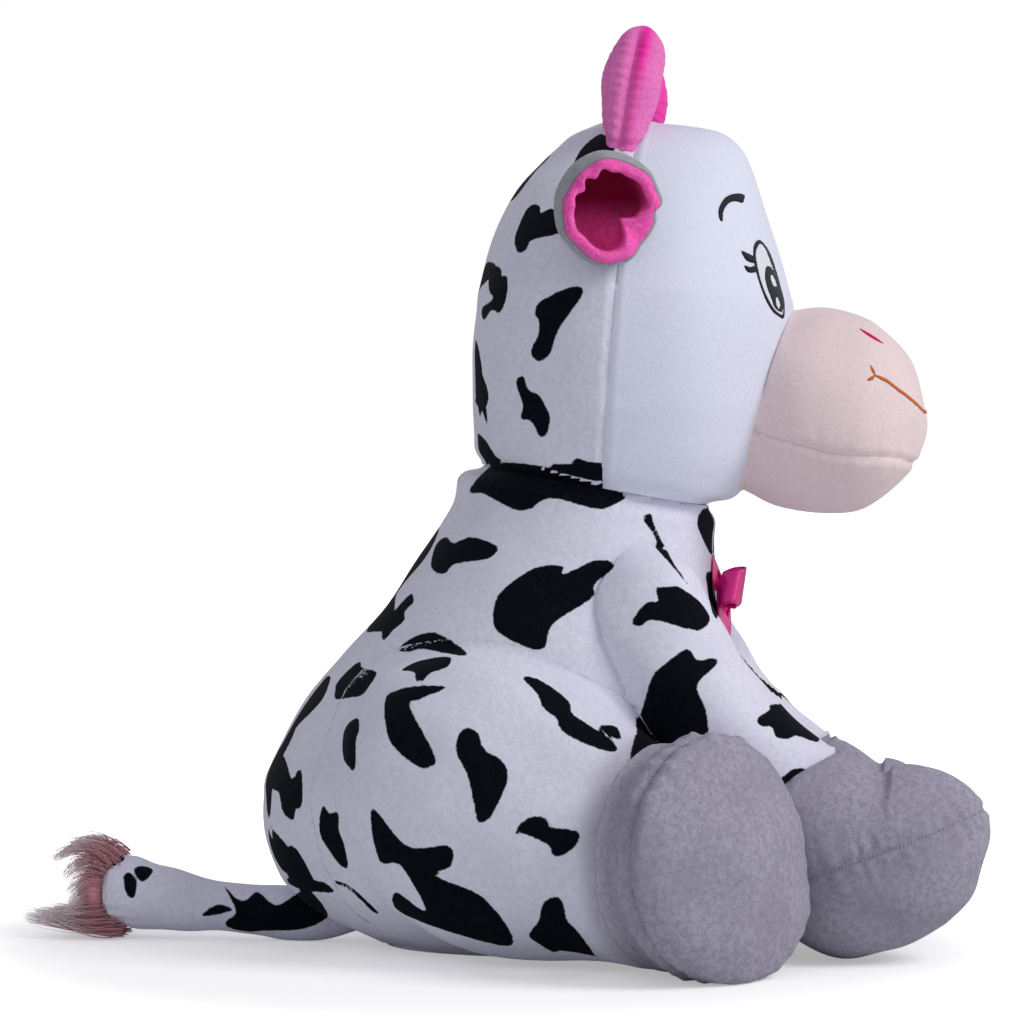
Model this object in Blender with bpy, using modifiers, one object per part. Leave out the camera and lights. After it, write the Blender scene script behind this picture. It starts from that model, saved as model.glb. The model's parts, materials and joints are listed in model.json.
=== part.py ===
"""Seated plush cow: sewn covers over fibre fillings, with seams that flex as joints.

Metres, +Z up. The cow looks along -Y and sits on z = 0, and its right side is at -X.
Places are given as forward (along -Y), outward (away from the middle plane) and up.
"""

import math

import bmesh
import bpy
from mathutils import Matrix, Vector

# Cloth and clearances
SKIN = 0.002  # plush cloth with its pile
GAP = 0.0003  # between two pieces that touch
OVERRUN = 1.2  # how far a cutting block reaches

# Torso: a pear that leans forward
TORSO_HEIGHT = 0.340
TORSO_DEPTH = 0.317
TORSO_WIDTH = 0.268
TORSO_LEAN = 0.067
TORSO_FORWARD = -0.006
SEAT_WIDTH = 0.150
SEAT_DEPTH = 0.190
# Rows: up, forward, half width, half depth
TORSO_RING_SHARES = (
    (-0.060, 0.00, 0.00, 0.00),
    (-0.020, 0.00, 0.66, 0.65),
    (0.060, 0.00, 0.91, 0.915),
    (0.240, 0.02, 1.00, 1.00),
    (0.420, 0.12, 0.95, 0.925),
    (0.600, 0.46, 0.83, 0.750),
    (0.760, 0.72, 0.71, 0.600),
    (0.930, 1.00, 0.60, 0.480),
    (1.000, 1.08, 0.00, 0.00),
)
NECK_UP_SHARE = 0.876
NECK_LEAN_SHARE = 0.955
NECK_UP = NECK_UP_SHARE * TORSO_HEIGHT
NECK_FORWARD = TORSO_FORWARD + NECK_LEAN_SHARE * TORSO_LEAN
NECK_TILT = math.radians(10.4)

# Head: an egg with a steep face
HEAD_SINK = 0.030  # the egg's lower end is cut off at the neck seam
HEAD_SET = 0.025  # the head sits this far in front of the neck's middle
HEAD_UP = NECK_UP - HEAD_SINK
HEAD_FORWARD = NECK_FORWARD + HEAD_SET
HEAD_HEIGHT = 0.267
HEAD_DEPTH = 0.214
HEAD_WIDTH = 0.240
HEAD_NOD = 0.016
FACE_SEAM_SET = 0.005
FACE_SEAM_UP_SHARE = 0.457
FACE_SEAM_TILT = math.radians(5.0)
# Rows: up, forward, half width, half depth
HEAD_RING_SHARES = (
    (0.000, -1.00, 0.00, 0.00),
    (0.060, -0.85, 0.66, 0.66),
    (0.200, -0.55, 0.86, 0.88),
    (0.400, -0.15, 0.98, 0.985),
    (0.580, 0.00, 0.99, 0.985),
    (0.750, 0.00, 0.84, 0.850),
    (0.890, 0.55, 0.58, 0.650),
    (0.975, 0.85, 0.27, 0.340),
    (1.000, 0.85, 0.00, 0.00),
)

# Muzzle: a round pad on the lower face
MUZZLE_SET_SHARE = 0.43
MUZZLE_UP_SHARE = 0.288
MUZZLE_FORWARD = HEAD_FORWARD + MUZZLE_SET_SHARE * HEAD_DEPTH / 2.0
MUZZLE_UP = HEAD_UP + MUZZLE_UP_SHARE * HEAD_HEIGHT
MUZZLE_REACH = 0.142
MUZZLE_DROP = 0.008
MUZZLE_HEIGHT = 0.131
MUZZLE_WIDTH = 0.144
CHIN_SEAM_FORWARD_SHARE = 0.49
CHIN_SEAM_DOWN_SHARE = 0.27
CHIN_SEAM_TILT = math.radians(7.0)
# Rows: forward, down, half height, half width
MUZZLE_RING_SHARES = (
    (0.00, 0.00, 0.00, 0.00),
    (0.07, 0.00, 0.62, 0.60),
    (0.27, 0.00, 0.91, 0.90),
    (0.53, 0.00, 1.00, 1.00),
    (0.78, 0.25, 0.86, 0.88),
    (0.93, 0.75, 0.56, 0.60),
    (1.00, 1.00, 0.00, 0.00),
)

# Horns: stuffed, curved a little forward and inward
HORN_BACK_SHARE = 0.042
HORN_OUT_SHARE = 0.381
HORN_UP_SHARE = 0.876
HORN_FORWARD = HEAD_FORWARD - HORN_BACK_SHARE * HEAD_DEPTH / 2.0
HORN_OUT = HORN_OUT_SHARE * HEAD_WIDTH / 2.0
HORN_UP = HEAD_UP + HORN_UP_SHARE * HEAD_HEIGHT
HORN_HEIGHT = 0.087
HORN_LEAN = 0.013
HORN_CURL = -0.010
HORN_DEPTH = 0.038
HORN_WIDTH = 0.032
# Rows: up, forward, outward, half depth, half width
HORN_RING_SHARES = (
    (0.00, 0.00, 0.00, 0.00, 0.00),
    (0.08, 0.00, -0.10, 0.44, 0.53),
    (0.34, 0.14, -0.20, 0.84, 0.90),
    (0.62, 0.38, 0.00, 1.00, 1.00),
    (0.86, 0.72, 0.55, 0.78, 0.80),
    (0.96, 0.90, 0.85, 0.45, 0.50),
    (1.00, 1.00, 1.00, 0.00, 0.00),
)

# Ears: soft cups that point sideways, lined in pink
EAR_BACK_SHARE = 0.152
EAR_UP_SHARE = 0.779
EAR_FORWARD = HEAD_FORWARD - EAR_BACK_SHARE * HEAD_DEPTH / 2.0
EAR_UP = HEAD_UP + EAR_UP_SHARE * HEAD_HEIGHT
EAR_FLAP = math.radians(12.0)  # the ear's base is shaped to turn this far either way
EAR_REACH = 0.086
EAR_TURN = 0.022
EAR_DROOP = -0.014
EAR_WIDTH = 0.069
EAR_CUT_SHARE = 0.62
EAR_LINING_PROUD = 0.003
# Rows: outward, forward, up, half width, half height
EAR_RING_SHARES = (
    (0.00, 0.00, 0.00, 0.00, 0.00),
    (0.06, 0.03, 0.03, 0.34, 0.38),
    (0.28, 0.26, 0.28, 0.76, 0.82),
    (0.58, 0.58, 0.60, 1.00, 1.00),
    (0.90, 0.90, 0.90, 0.72, 0.74),
    (1.00, 1.00, 1.00, 0.00, 0.00),
)

# Arms: hang forward from the shoulders, hooves between the feet
SHOULDER_FORWARD_SHARE = 0.555
SHOULDER_OUT_SHARE = 0.56
SHOULDER_UP_SHARE = 0.759
SHOULDER_FORWARD = TORSO_FORWARD + SHOULDER_FORWARD_SHARE * TORSO_DEPTH / 2.0
SHOULDER_OUT = SHOULDER_OUT_SHARE * TORSO_WIDTH / 2.0
SHOULDER_UP = SHOULDER_UP_SHARE * TORSO_HEIGHT
ARM_REACH = 0.227
ARM_INWARD = -0.023
ARM_DROP = -0.186
HOOF_WIDTH = 0.101
HOOF_HEIGHT = 0.126
WRIST_FORWARD_SHARE = 0.52
WRIST_DOWN_SHARE = 0.935
WRIST_TILT = math.radians(24.0)
HOOF_SEAM_FORWARD_SHARE = 0.728
HOOF_SEAM_DOWN_SHARE = 0.989
HOOF_SEAM_TILT = math.radians(-21.0)
# Rows: forward, inward, down, half width, half height
ARM_RING_SHARES = (
    (0.000, 0.00, 0.000, 0.00, 0.000),
    (0.035, 0.00, 0.110, 0.60, 0.500),
    (0.110, 0.20, 0.330, 0.84, 0.700),
    (0.235, 0.70, 0.610, 0.88, 0.755),
    (0.420, 1.00, 0.860, 0.88, 0.810),
    (0.620, 1.05, 0.990, 0.97, 0.960),
    (0.850, 1.00, 1.035, 0.88, 0.880),
    (1.000, 1.00, 1.000, 0.00, 0.000),
)

# Legs: broad thighs on the torso's sides, feet turned outward
THIGH_HEIGHT = 0.199
THIGH_LIFT = 0.0005
HIP_BACK_SHARE = 0.554
HIP_OUT_SHARE = 0.59
HIP_FORWARD = TORSO_FORWARD - HIP_BACK_SHARE * TORSO_DEPTH / 2.0
HIP_OUT = HIP_OUT_SHARE * TORSO_WIDTH / 2.0
HIP_UP = THIGH_HEIGHT / 2.0 + THIGH_LIFT
LEG_REACH = 0.258
LEG_SPREAD = 0.093
LEG_DROP = -0.028
FOOT_WIDTH = 0.140
SOLE_FORWARD_SHARE = 0.925
SOLE_OUT_SHARE = 0.828
SOLE_TURN = math.radians(38.0)
FOOT_BAND = 0.040
# Rows: forward, outward, down, half height, half width
LEG_RING_SHARES = (
    (0.000, 0.00, 0.00, 0.000, 0.00),
    (0.092, 0.09, 0.00, 0.640, 0.66),
    (0.268, 0.205, 0.07, 1.000, 0.88),
    (0.489, 0.25, 0.35, 0.930, 0.88),
    (0.673, 0.34, 0.88, 0.730, 0.82),
    (0.800, 0.52, 1.02, 0.700, 0.85),
    (0.871, 0.69, 1.00, 0.742, 1.00),
    (0.945, 0.865, 1.00, 0.680, 0.91),
    (1.000, 1.00, 1.00, 0.000, 0.00),
)

# Tail: lies on the floor behind, with a tuft of long fibres
TAIL_BACK_SHARE = 0.904
TAIL_BACK = TORSO_FORWARD - TAIL_BACK_SHARE * TORSO_DEPTH / 2.0
TAIL_ROOT_RADIUS = 0.018
TAIL_SEAT_GAP = 0.0008
TAIL_LENGTH = 0.124
TAIL_RISE = 0.003
TAIL_END_RADIUS = 0.022
# Rows: back from the root's centre, up, radius share
TAIL_RING_SHARES = (
    (-0.143, 0.00, 0.00),
    (-0.100, 0.00, 0.60),
    (0.000, 0.00, 0.818),
    (0.180, -0.60, 0.740),
    (0.560, -0.40, 0.830),
    (0.880, 1.00, 1.000),
    (1.010, 1.00, 0.740),
    (1.060, 1.00, 0.00),
)
TUFT_LENGTH = 0.054
TUFT_HEIGHT = 0.044
TUFT_WIDTH = 0.030
TUFT_RISE = 0.012
# Rows: back, up, half height, half width
TUFT_RING_SHARES = (
    (0.00, 0.10, 0.00, 0.00),
    (0.04, 0.15, 0.62, 0.90),
    (0.28, 1.00, 1.00, 1.00),
    (0.58, 0.30, 0.72, 0.75),
    (0.84, -0.50, 0.36, 0.40),
    (1.00, -0.80, 0.00, 0.00),
)

# Bow: satin ribbon on the chest
RIBBON_WIDTH = 0.025
RIBBON_THICKNESS = 0.0008
BOW_UP_SHARE = 0.68
BOW_UP = BOW_UP_SHARE * TORSO_HEIGHT
LOOP_LENGTH = 0.021
LOOP_DEPTH = 0.014
LOOP_POINTS = 14
KNOT_WIDTH = 0.010
KNOT_DEPTH = 0.009
KNOT_HEIGHT = 0.026
BOW_TAIL_LENGTH = 0.034
BOW_TAIL_SPREAD = 0.010
BOW_TAIL_STEPS = 6

# How finely the soft forms are drawn
TORSO_SEGMENTS = 8
HEAD_SEGMENTS = 8
LIMB_SEGMENTS = 8
SMALL_SEGMENTS = 6
INSIDE_COARSENESS = 2  # inside, one face stands behind this many of the outside
TAIL_SEAT_SEGMENTS = 24

# Colour, roughness
PLUSH_WHITE = ((0.80, 0.78, 0.83), 0.95)
FACE_WHITE = ((0.82, 0.83, 0.92), 0.90)
MUZZLE_PEACH = ((0.86, 0.63, 0.57), 0.90)
HORN_PINK = ((0.85, 0.12, 0.50), 0.85)
EAR_GREY = ((0.36, 0.36, 0.39), 0.95)
LINING_PINK = ((0.95, 0.06, 0.42), 0.85)
HOOF_GREY = ((0.36, 0.34, 0.37), 0.95)
RIBBON_PINK = ((0.68, 0.02, 0.22), 0.35)
TUFT_PINK = ((0.62, 0.30, 0.32), 0.80)
FIBRE_WHITE = ((0.90, 0.90, 0.88), 1.00)

SIDES = (("right", 1), ("left", -1))


def place(forward, outward, up, side=1):
    """The point in the model's axes; side is 1 on the cow's right and -1 on its left."""
    return Vector((-side * outward, -forward, up))


def make_material(name, finish):
    """A plain material in one colour."""
    colour, roughness = finish
    material = bpy.data.materials.new(name)
    material.use_nodes = True
    shader = material.node_tree.nodes["Principled BSDF"]
    shader.inputs["Base Color"].default_value = (*colour, 1.0)
    shader.inputs["Roughness"].default_value = roughness
    shader.inputs["Metallic"].default_value = 0.0
    return material


def through(values):
    """Cage values whose subdivided surface passes through the given ones."""
    cage = list(values)
    for _ in range(len(values)):
        smooth = [
            (before + 4.0 * here + after) / 6.0
            for before, here, after in zip(cage, cage[1:], cage[2:])
        ]
        for index, value in enumerate(smooth, start=1):
            cage[index] += values[index] - value
    return cage


def ring_axes(centres, index, first, level):
    """The two directions that a ring's half sizes lie along."""
    if level:
        return Vector((1, 0, 0)), Vector((0, 1, 0))
    tangent = (centres[min(index + 1, len(centres) - 1)] - centres[max(index - 1, 0)]).normalized()
    first = (first - tangent * first.dot(tangent)).normalized()
    return first, tangent.cross(first)


def soft_mesh(name, stations, segments, first, level):
    """A coarse cage: a unit ball whose rings are laid on the stations."""
    swell = 4.0 / (3.0 + math.cos(2.0 * math.pi / segments))
    centres = [centre for centre, _, _ in stations]
    columns = [through([centre[axis] for centre in centres]) for axis in range(3)]
    widths = through([width for _, width, _ in stations])
    depths = through([depth for _, _, depth in stations])
    shape = bmesh.new()
    bmesh.ops.create_uvsphere(shape, u_segments=segments, v_segments=len(stations) - 1, radius=1.0)
    for vertex in shape.verts:
        polar = math.acos(max(-1.0, min(1.0, vertex.co.z)))
        ring = round(polar * (len(stations) - 1) / math.pi)
        angle = math.atan2(vertex.co.y, vertex.co.x)
        one, other = ring_axes(centres, ring, first, level)
        centre = Vector([column[ring] for column in columns])
        reach = one * math.cos(angle) * widths[ring] + other * math.sin(angle) * depths[ring]
        vertex.co = centre + reach * swell
    for face in shape.faces:
        face.smooth = True
    if shape.calc_volume(signed=True) < 0:
        bmesh.ops.reverse_faces(shape, faces=shape.faces)
    mesh = bpy.data.meshes.new(name)
    shape.to_mesh(mesh)
    shape.free()
    return mesh


class Form:
    """A soft form that can be drawn again at another distance from its surface."""

    def __init__(self, stations, segments, first=(1, 0, 0), level=False):
        self.stations = stations
        self.segments = segments
        self.first = Vector(first)
        self.level = level

    def draw(self, name, grow, group):
        """The form as an object, its surface moved outward by grow."""
        mesh = soft_mesh(name, self.stations, self.segments, self.first, self.level)
        shape = bpy.data.objects.new(name, mesh)
        group.objects.link(shape)
        smooth = shape.modifiers.new("soft surface", "SUBSURF")
        smooth.levels = 1
        smooth.render_levels = 1
        if grow:
            swell = shape.modifiers.new("distance", "DISPLACE")
            swell.direction = "NORMAL"
            swell.mid_level = 0.0
            swell.strength = grow
        split = shape.modifiers.new("same diagonals", "TRIANGULATE")
        split.quad_method = "FIXED"
        return shape

    def inside(self):
        """The same form with fewer faces, for what lies behind the cloth."""
        return Form(self.stations, self.segments // INSIDE_COARSENESS, self.first, self.level)


def as_cutter(shape):
    """Marks a helper shape, which is not part of the toy."""
    shape.hide_render = True
    shape.display_type = "WIRE"
    return shape


def half_space(name, point, normal, group, shift=0.0):
    """A block that fills the side of a plane that normal points to, moved along it by shift."""
    normal = Vector(normal).normalized()
    bpy.ops.mesh.primitive_cube_add(size=OVERRUN)
    block = bpy.context.object
    block.name = name
    block.rotation_euler = normal.to_track_quat("Z", "Y").to_euler()
    block.location = Vector(point) + normal * (OVERRUN / 2.0 + shift)
    move_to(block, group)
    return as_cutter(block)


def move_to(shape, group):
    """Puts an object into one collection only."""
    for owner in list(shape.users_collection):
        owner.objects.unlink(shape)
    group.objects.link(shape)


def carve(shape, cutter, operation="DIFFERENCE"):
    """Cuts a shape, exactly and live."""
    cut = shape.modifiers.new(cutter.name, "BOOLEAN")
    cut.object = cutter
    cut.operation = operation
    cut.solver = "EXACT"


def add_empty(name, point, group):
    """A pivot that a moving body's pieces hang from."""
    empty = bpy.data.objects.new(name, None)
    empty.location = point
    empty.empty_display_size = TAIL_ROOT_RADIUS
    group.objects.link(empty)
    return empty


def hang(pieces, pivot):
    """Parents pieces to a pivot and leaves them where they are."""
    for piece in pieces:
        piece.parent = pivot
        piece.matrix_parent_inverse = pivot.matrix_basis.inverted()


class Workshop:
    """The collections and the two ways in which every soft piece is made."""

    def __init__(self):
        self.parts = bpy.data.collections.new("plush_cow")
        self.cutters = bpy.data.collections.new("cutters")
        bpy.context.scene.collection.children.link(self.parts)
        bpy.context.scene.collection.children.link(self.cutters)

    def cover(self, name, form, finish, cuts, hollow):
        """One sewn panel: the form less its hollow and less every cutter."""
        piece = form.draw(name, 0.0, self.parts)
        carve(piece, hollow)
        for cutter in cuts:
            carve(piece, cutter)
        piece.data.materials.append(make_material(name, finish))
        return piece

    def filling(self, name, form, cuts):
        """The fibre inside a cover."""
        piece = form.inside().draw(name, -(SKIN + GAP), self.parts)
        for cutter in cuts:
            carve(piece, cutter)
        piece.data.materials.append(make_material(name, FIBRE_WHITE))
        return piece

    def cutter(self, name, form, grow):
        """The form, moved by grow, as a cutter."""
        return as_cutter(form.draw(name, grow, self.cutters))

    def hollow(self, name, form, depth=SKIN):
        """The room inside a cover whose cloth is depth thick."""
        return self.cutter(name, form.inside(), -depth)

    def plane(self, name, point, normal, shift=0.0):
        """A half space as a cutter."""
        return half_space(name, point, normal, self.cutters, shift)

    def seam(self, name, point, normal):
        """Two cutters that part a cover along a plane: one takes the far side, one the near side."""
        normal = Vector(normal)
        beyond = self.plane(name + "_beyond", point, normal, -GAP / 2.0)
        before = self.plane(name + "_before", point, -normal, -GAP / 2.0)
        return beyond, before


def torso_form():
    stations = [
        (
            place(TORSO_FORWARD + forward * TORSO_LEAN, 0, up * TORSO_HEIGHT),
            width * TORSO_WIDTH / 2.0,
            depth * TORSO_DEPTH / 2.0,
        )
        for up, forward, width, depth in TORSO_RING_SHARES
    ]
    return Form(stations, TORSO_SEGMENTS, level=True)


def head_form():
    stations = [
        (
            place(HEAD_FORWARD + forward * HEAD_NOD, 0, HEAD_UP + up * HEAD_HEIGHT),
            width * HEAD_WIDTH / 2.0,
            depth * HEAD_DEPTH / 2.0,
        )
        for up, forward, width, depth in HEAD_RING_SHARES
    ]
    return Form(stations, HEAD_SEGMENTS, level=True)


def muzzle_form():
    stations = [
        (
            place(MUZZLE_FORWARD + forward * MUZZLE_REACH, 0, MUZZLE_UP - down * MUZZLE_DROP),
            height * MUZZLE_HEIGHT / 2.0,
            width * MUZZLE_WIDTH / 2.0,
        )
        for forward, down, height, width in MUZZLE_RING_SHARES
    ]
    return Form(stations, LIMB_SEGMENTS, first=(0, 0, 1))


def horn_form(side):
    stations = [
        (
            place(
                HORN_FORWARD + forward * HORN_LEAN,
                HORN_OUT + outward * HORN_CURL,
                HORN_UP + up * HORN_HEIGHT,
                side,
            ),
            depth * HORN_DEPTH / 2.0,
            width * HORN_WIDTH / 2.0,
        )
        for up, forward, outward, depth, width in HORN_RING_SHARES
    ]
    return Form(stations, SMALL_SEGMENTS, first=(0, 1, 0))


def ear_form(side, root):
    stations = [
        (
            root + place(forward * EAR_TURN, outward * EAR_REACH, up * EAR_DROOP, side),
            width * EAR_WIDTH / 2.0,
            height * EAR_WIDTH / 2.0,
        )
        for outward, forward, up, width, height in EAR_RING_SHARES
    ]
    return Form(stations, SMALL_SEGMENTS, first=(0, 1, 0))


def arm_form(side):
    stations = [
        (
            place(
                SHOULDER_FORWARD + forward * ARM_REACH,
                SHOULDER_OUT + inward * ARM_INWARD,
                SHOULDER_UP + down * ARM_DROP,
                side,
            ),
            width * HOOF_WIDTH / 2.0,
            height * HOOF_HEIGHT / 2.0,
        )
        for forward, inward, down, width, height in ARM_RING_SHARES
    ]
    return Form(stations, LIMB_SEGMENTS)


def leg_form(side):
    stations = [
        (
            place(
                HIP_FORWARD + forward * LEG_REACH,
                HIP_OUT + outward * LEG_SPREAD,
                HIP_UP + down * LEG_DROP,
                side,
            ),
            height * THIGH_HEIGHT / 2.0,
            width * FOOT_WIDTH / 2.0,
        )
        for forward, outward, down, height, width in LEG_RING_SHARES
    ]
    return Form(stations, LIMB_SEGMENTS, first=(0, 0, 1))


def tail_form():
    stations = [
        (
            place(TAIL_BACK - back * TAIL_LENGTH, 0, TAIL_ROOT_RADIUS + up * TAIL_RISE),
            radius * TAIL_END_RADIUS,
            radius * TAIL_END_RADIUS,
        )
        for back, up, radius in TAIL_RING_SHARES
    ]
    return Form(stations, SMALL_SEGMENTS)


def tuft_form():
    root = TAIL_BACK - TAIL_LENGTH
    height = TAIL_ROOT_RADIUS + TAIL_RISE
    stations = [
        (
            place(root - back * TUFT_LENGTH, 0, height + up * TUFT_RISE),
            tall * TUFT_HEIGHT / 2.0,
            width * TUFT_WIDTH / 2.0,
        )
        for back, up, tall, width in TUFT_RING_SHARES
    ]
    return Form(stations, SMALL_SEGMENTS, first=(0, 0, 1))


def neck_normal():
    """The direction that the neck seam faces: up and a little forward."""
    return place(math.sin(NECK_TILT), 0, math.cos(NECK_TILT))


def floor_cutters(shop):
    """What lies below the floor, below a cover's skin on it and below a filling's rest."""
    return (
        shop.plane("below_floor", place(0, 0, 0), (0, 0, -1)),
        shop.plane("below_skin", place(0, 0, SKIN), (0, 0, -1)),
        shop.plane("below_filling", place(0, 0, SKIN + GAP), (0, 0, -1)),
    )


def build_torso(shop, form, floors):
    """Torso cover, the oval seat panel in its base, and the filling."""
    below_floor, below_skin, below_filling = floors
    neck = place(NECK_FORWARD, 0, NECK_UP)
    above_neck = shop.plane("above_neck", neck, neck_normal(), -GAP / 2.0)
    hollow = shop.hollow("torso_hollow", form)
    carve(hollow, below_skin)
    tail_seat = build_tail_seat(shop)
    seat_column, seat_hole = build_seat_columns(shop)
    cover = shop.cover(
        "torso_cover", form, PLUSH_WHITE, (below_floor, above_neck, tail_seat, seat_hole), hollow
    )
    seat = shop.cover("seat_panel", form, PLUSH_WHITE, (below_floor,), hollow)
    carve(seat, seat_column, "INTERSECT")
    filling = shop.filling("torso_filling", form, (below_filling, above_neck, tail_seat))
    return [cover, seat, filling]


def build_seat_columns(shop):
    """Two oval columns, a gap apart: one keeps the seat panel, the other clears its hole."""
    columns = []
    for name, grow in (("seat_column", 0.0), ("seat_hole", GAP)):
        bpy.ops.mesh.primitive_cylinder_add(
            vertices=2 * TORSO_SEGMENTS, radius=1.0, depth=TORSO_WIDTH
        )
        column = bpy.context.object
        column.name = name
        column.scale = (SEAT_WIDTH / 2.0 + grow, SEAT_DEPTH / 2.0 + grow, 1.0)
        column.location = place(TORSO_FORWARD, 0, SKIN + GAP / 2.0 - TORSO_WIDTH / 2.0)
        move_to(column, shop.cutters)
        columns.append(as_cutter(column))
    return columns


def build_tail_seat(shop):
    """The round hollow in the torso's back that the tail's root turns in."""
    bpy.ops.mesh.primitive_uv_sphere_add(
        segments=TAIL_SEAT_SEGMENTS,
        ring_count=TAIL_SEAT_SEGMENTS // 2,
        radius=TAIL_ROOT_RADIUS + TAIL_SEAT_GAP,
        location=place(TAIL_BACK, 0, TAIL_ROOT_RADIUS),
    )
    seat = bpy.context.object
    seat.name = "tail_seat"
    move_to(seat, shop.cutters)
    return as_cutter(seat)


def build_head(shop, form):
    """Hood, face and filling above the neck seam."""
    neck = place(NECK_FORWARD, 0, NECK_UP)
    below_neck = shop.plane("below_neck", neck, -neck_normal(), -GAP / 2.0)
    hollow = shop.hollow("head_hollow", form)
    seam_up = HEAD_UP + FACE_SEAM_UP_SHARE * HEAD_HEIGHT
    seam_point = place(HEAD_FORWARD + FACE_SEAM_SET, 0, seam_up)
    seam_normal = place(math.cos(FACE_SEAM_TILT), 0, -math.sin(FACE_SEAM_TILT))
    face_side, hood_side = shop.seam("face_seam", seam_point, seam_normal)
    hood = shop.cover("head_back_cover", form, PLUSH_WHITE, (below_neck, face_side), hollow)
    face = shop.cover("face_cover", form, FACE_WHITE, (below_neck, hood_side), hollow)
    filling = shop.filling("head_filling", form, (below_neck,))
    return [hood, face, filling]


def build_muzzle(shop, head_clearance):
    """Upper and lower muzzle panels over their filling, standing on the face."""
    form = muzzle_form()
    hollow = shop.hollow("muzzle_hollow", form)
    seam_point = place(
        MUZZLE_FORWARD + CHIN_SEAM_FORWARD_SHARE * MUZZLE_REACH,
        0,
        MUZZLE_UP - CHIN_SEAM_DOWN_SHARE * MUZZLE_HEIGHT / 2.0,
    )
    seam_normal = place(math.sin(CHIN_SEAM_TILT), 0, math.cos(CHIN_SEAM_TILT))
    above, below = shop.seam("chin_seam", seam_point, seam_normal)
    upper = shop.cover("muzzle_upper_cover", form, MUZZLE_PEACH, (head_clearance, below), hollow)
    lower = shop.cover("muzzle_lower_cover", form, MUZZLE_PEACH, (head_clearance, above), hollow)
    filling = shop.filling("muzzle_filling", form, (head_clearance,))
    return [upper, lower, filling]


def build_horn(shop, name, side, head_clearance):
    """Back and front horn panels over their filling."""
    form = horn_form(side)
    hollow = shop.hollow("horn_hollow_" + name, form)
    middle = HORN_RING_SHARES[len(HORN_RING_SHARES) // 2]
    seam_point = place(HORN_FORWARD + middle[1] * HORN_LEAN, 0, HORN_UP + middle[0] * HORN_HEIGHT)
    seam_normal = place(HORN_HEIGHT, 0, -HORN_LEAN)
    front_side, back_side = shop.seam("horn_seam_" + name, seam_point, seam_normal)
    back = shop.cover(
        "horn_back_cover_" + name, form, HORN_PINK, (head_clearance, front_side), hollow
    )
    front = shop.cover(
        "horn_front_cover_" + name, form, HORN_PINK, (head_clearance, back_side), hollow
    )
    filling = shop.filling("horn_filling_" + name, form, (head_clearance,))
    return [back, front, filling]


def turned_clearances(shop, name, head, root):
    """The head at both ends of the ear's turn, as the ear meets it."""
    cutters = []
    for word, angle in (("ahead", EAR_FLAP), ("behind", -EAR_FLAP)):
        cutter = shop.cutter("head_" + word + "_" + name, head, GAP)
        to_root = Matrix.Translation(root)
        cutter.matrix_world = to_root @ Matrix.Rotation(angle, 4, "Z") @ to_root.inverted()
        cutters.append(cutter)
    return cutters


def build_ear(shop, name, side, root, head):
    """Grey outer cup and pink lining, both open at the rim."""
    form = ear_form(side, root)
    axis = place(EAR_TURN, EAR_REACH, EAR_DROOP, side)
    rim = root + axis * EAR_CUT_SHARE
    beyond_rim = shop.plane("ear_rim_" + name, rim, axis)
    beyond_lining = shop.plane("ear_lining_rim_" + name, rim, axis, EAR_LINING_PROUD)
    outer_hollow = shop.hollow("ear_hollow_" + name, form)
    lining_hollow = shop.hollow("ear_mouth_" + name, form, 2.0 * SKIN + GAP)
    clearances = turned_clearances(shop, name, head, root)
    outer = shop.cover(
        "ear_outer_" + name, form, EAR_GREY, (*clearances, beyond_rim), outer_hollow
    )
    lining = form.inside().draw("ear_lining_" + name, -(SKIN + GAP), shop.parts)
    for cutter in (lining_hollow, *clearances, beyond_lining):
        carve(lining, cutter)
    lining.data.materials.append(make_material(lining.name, LINING_PINK))
    return [outer, lining]


def build_arm(shop, name, side, clearances):
    """White sleeve, grey hoof in two panels, and the filling."""
    form = arm_form(side)
    hollow = shop.hollow("arm_hollow_" + name, form)
    wrist = place(
        SHOULDER_FORWARD + WRIST_FORWARD_SHARE * ARM_REACH,
        SHOULDER_OUT + ARM_INWARD,
        SHOULDER_UP + WRIST_DOWN_SHARE * ARM_DROP,
        side,
    )
    along = place(math.cos(WRIST_TILT), 0, -math.sin(WRIST_TILT))
    hoof_side, sleeve_side = shop.seam("wrist_seam_" + name, wrist, along)
    seam_point = place(
        SHOULDER_FORWARD + HOOF_SEAM_FORWARD_SHARE * ARM_REACH,
        0,
        SHOULDER_UP + HOOF_SEAM_DOWN_SHARE * ARM_DROP,
    )
    seam_normal = place(math.sin(HOOF_SEAM_TILT), 0, math.cos(HOOF_SEAM_TILT))
    above, below = shop.seam("hoof_seam_" + name, seam_point, seam_normal)
    sleeve = shop.cover(
        "arm_cover_" + name, form, PLUSH_WHITE, (*clearances, hoof_side), hollow
    )
    top = shop.cover(
        "arm_hoof_top_" + name, form, HOOF_GREY, (*clearances, sleeve_side, below), hollow
    )
    bottom = shop.cover(
        "arm_hoof_bottom_" + name, form, HOOF_GREY, (*clearances, sleeve_side, above), hollow
    )
    filling = shop.filling("arm_filling_" + name, form, clearances)
    return [sleeve, top, bottom, filling]


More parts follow.
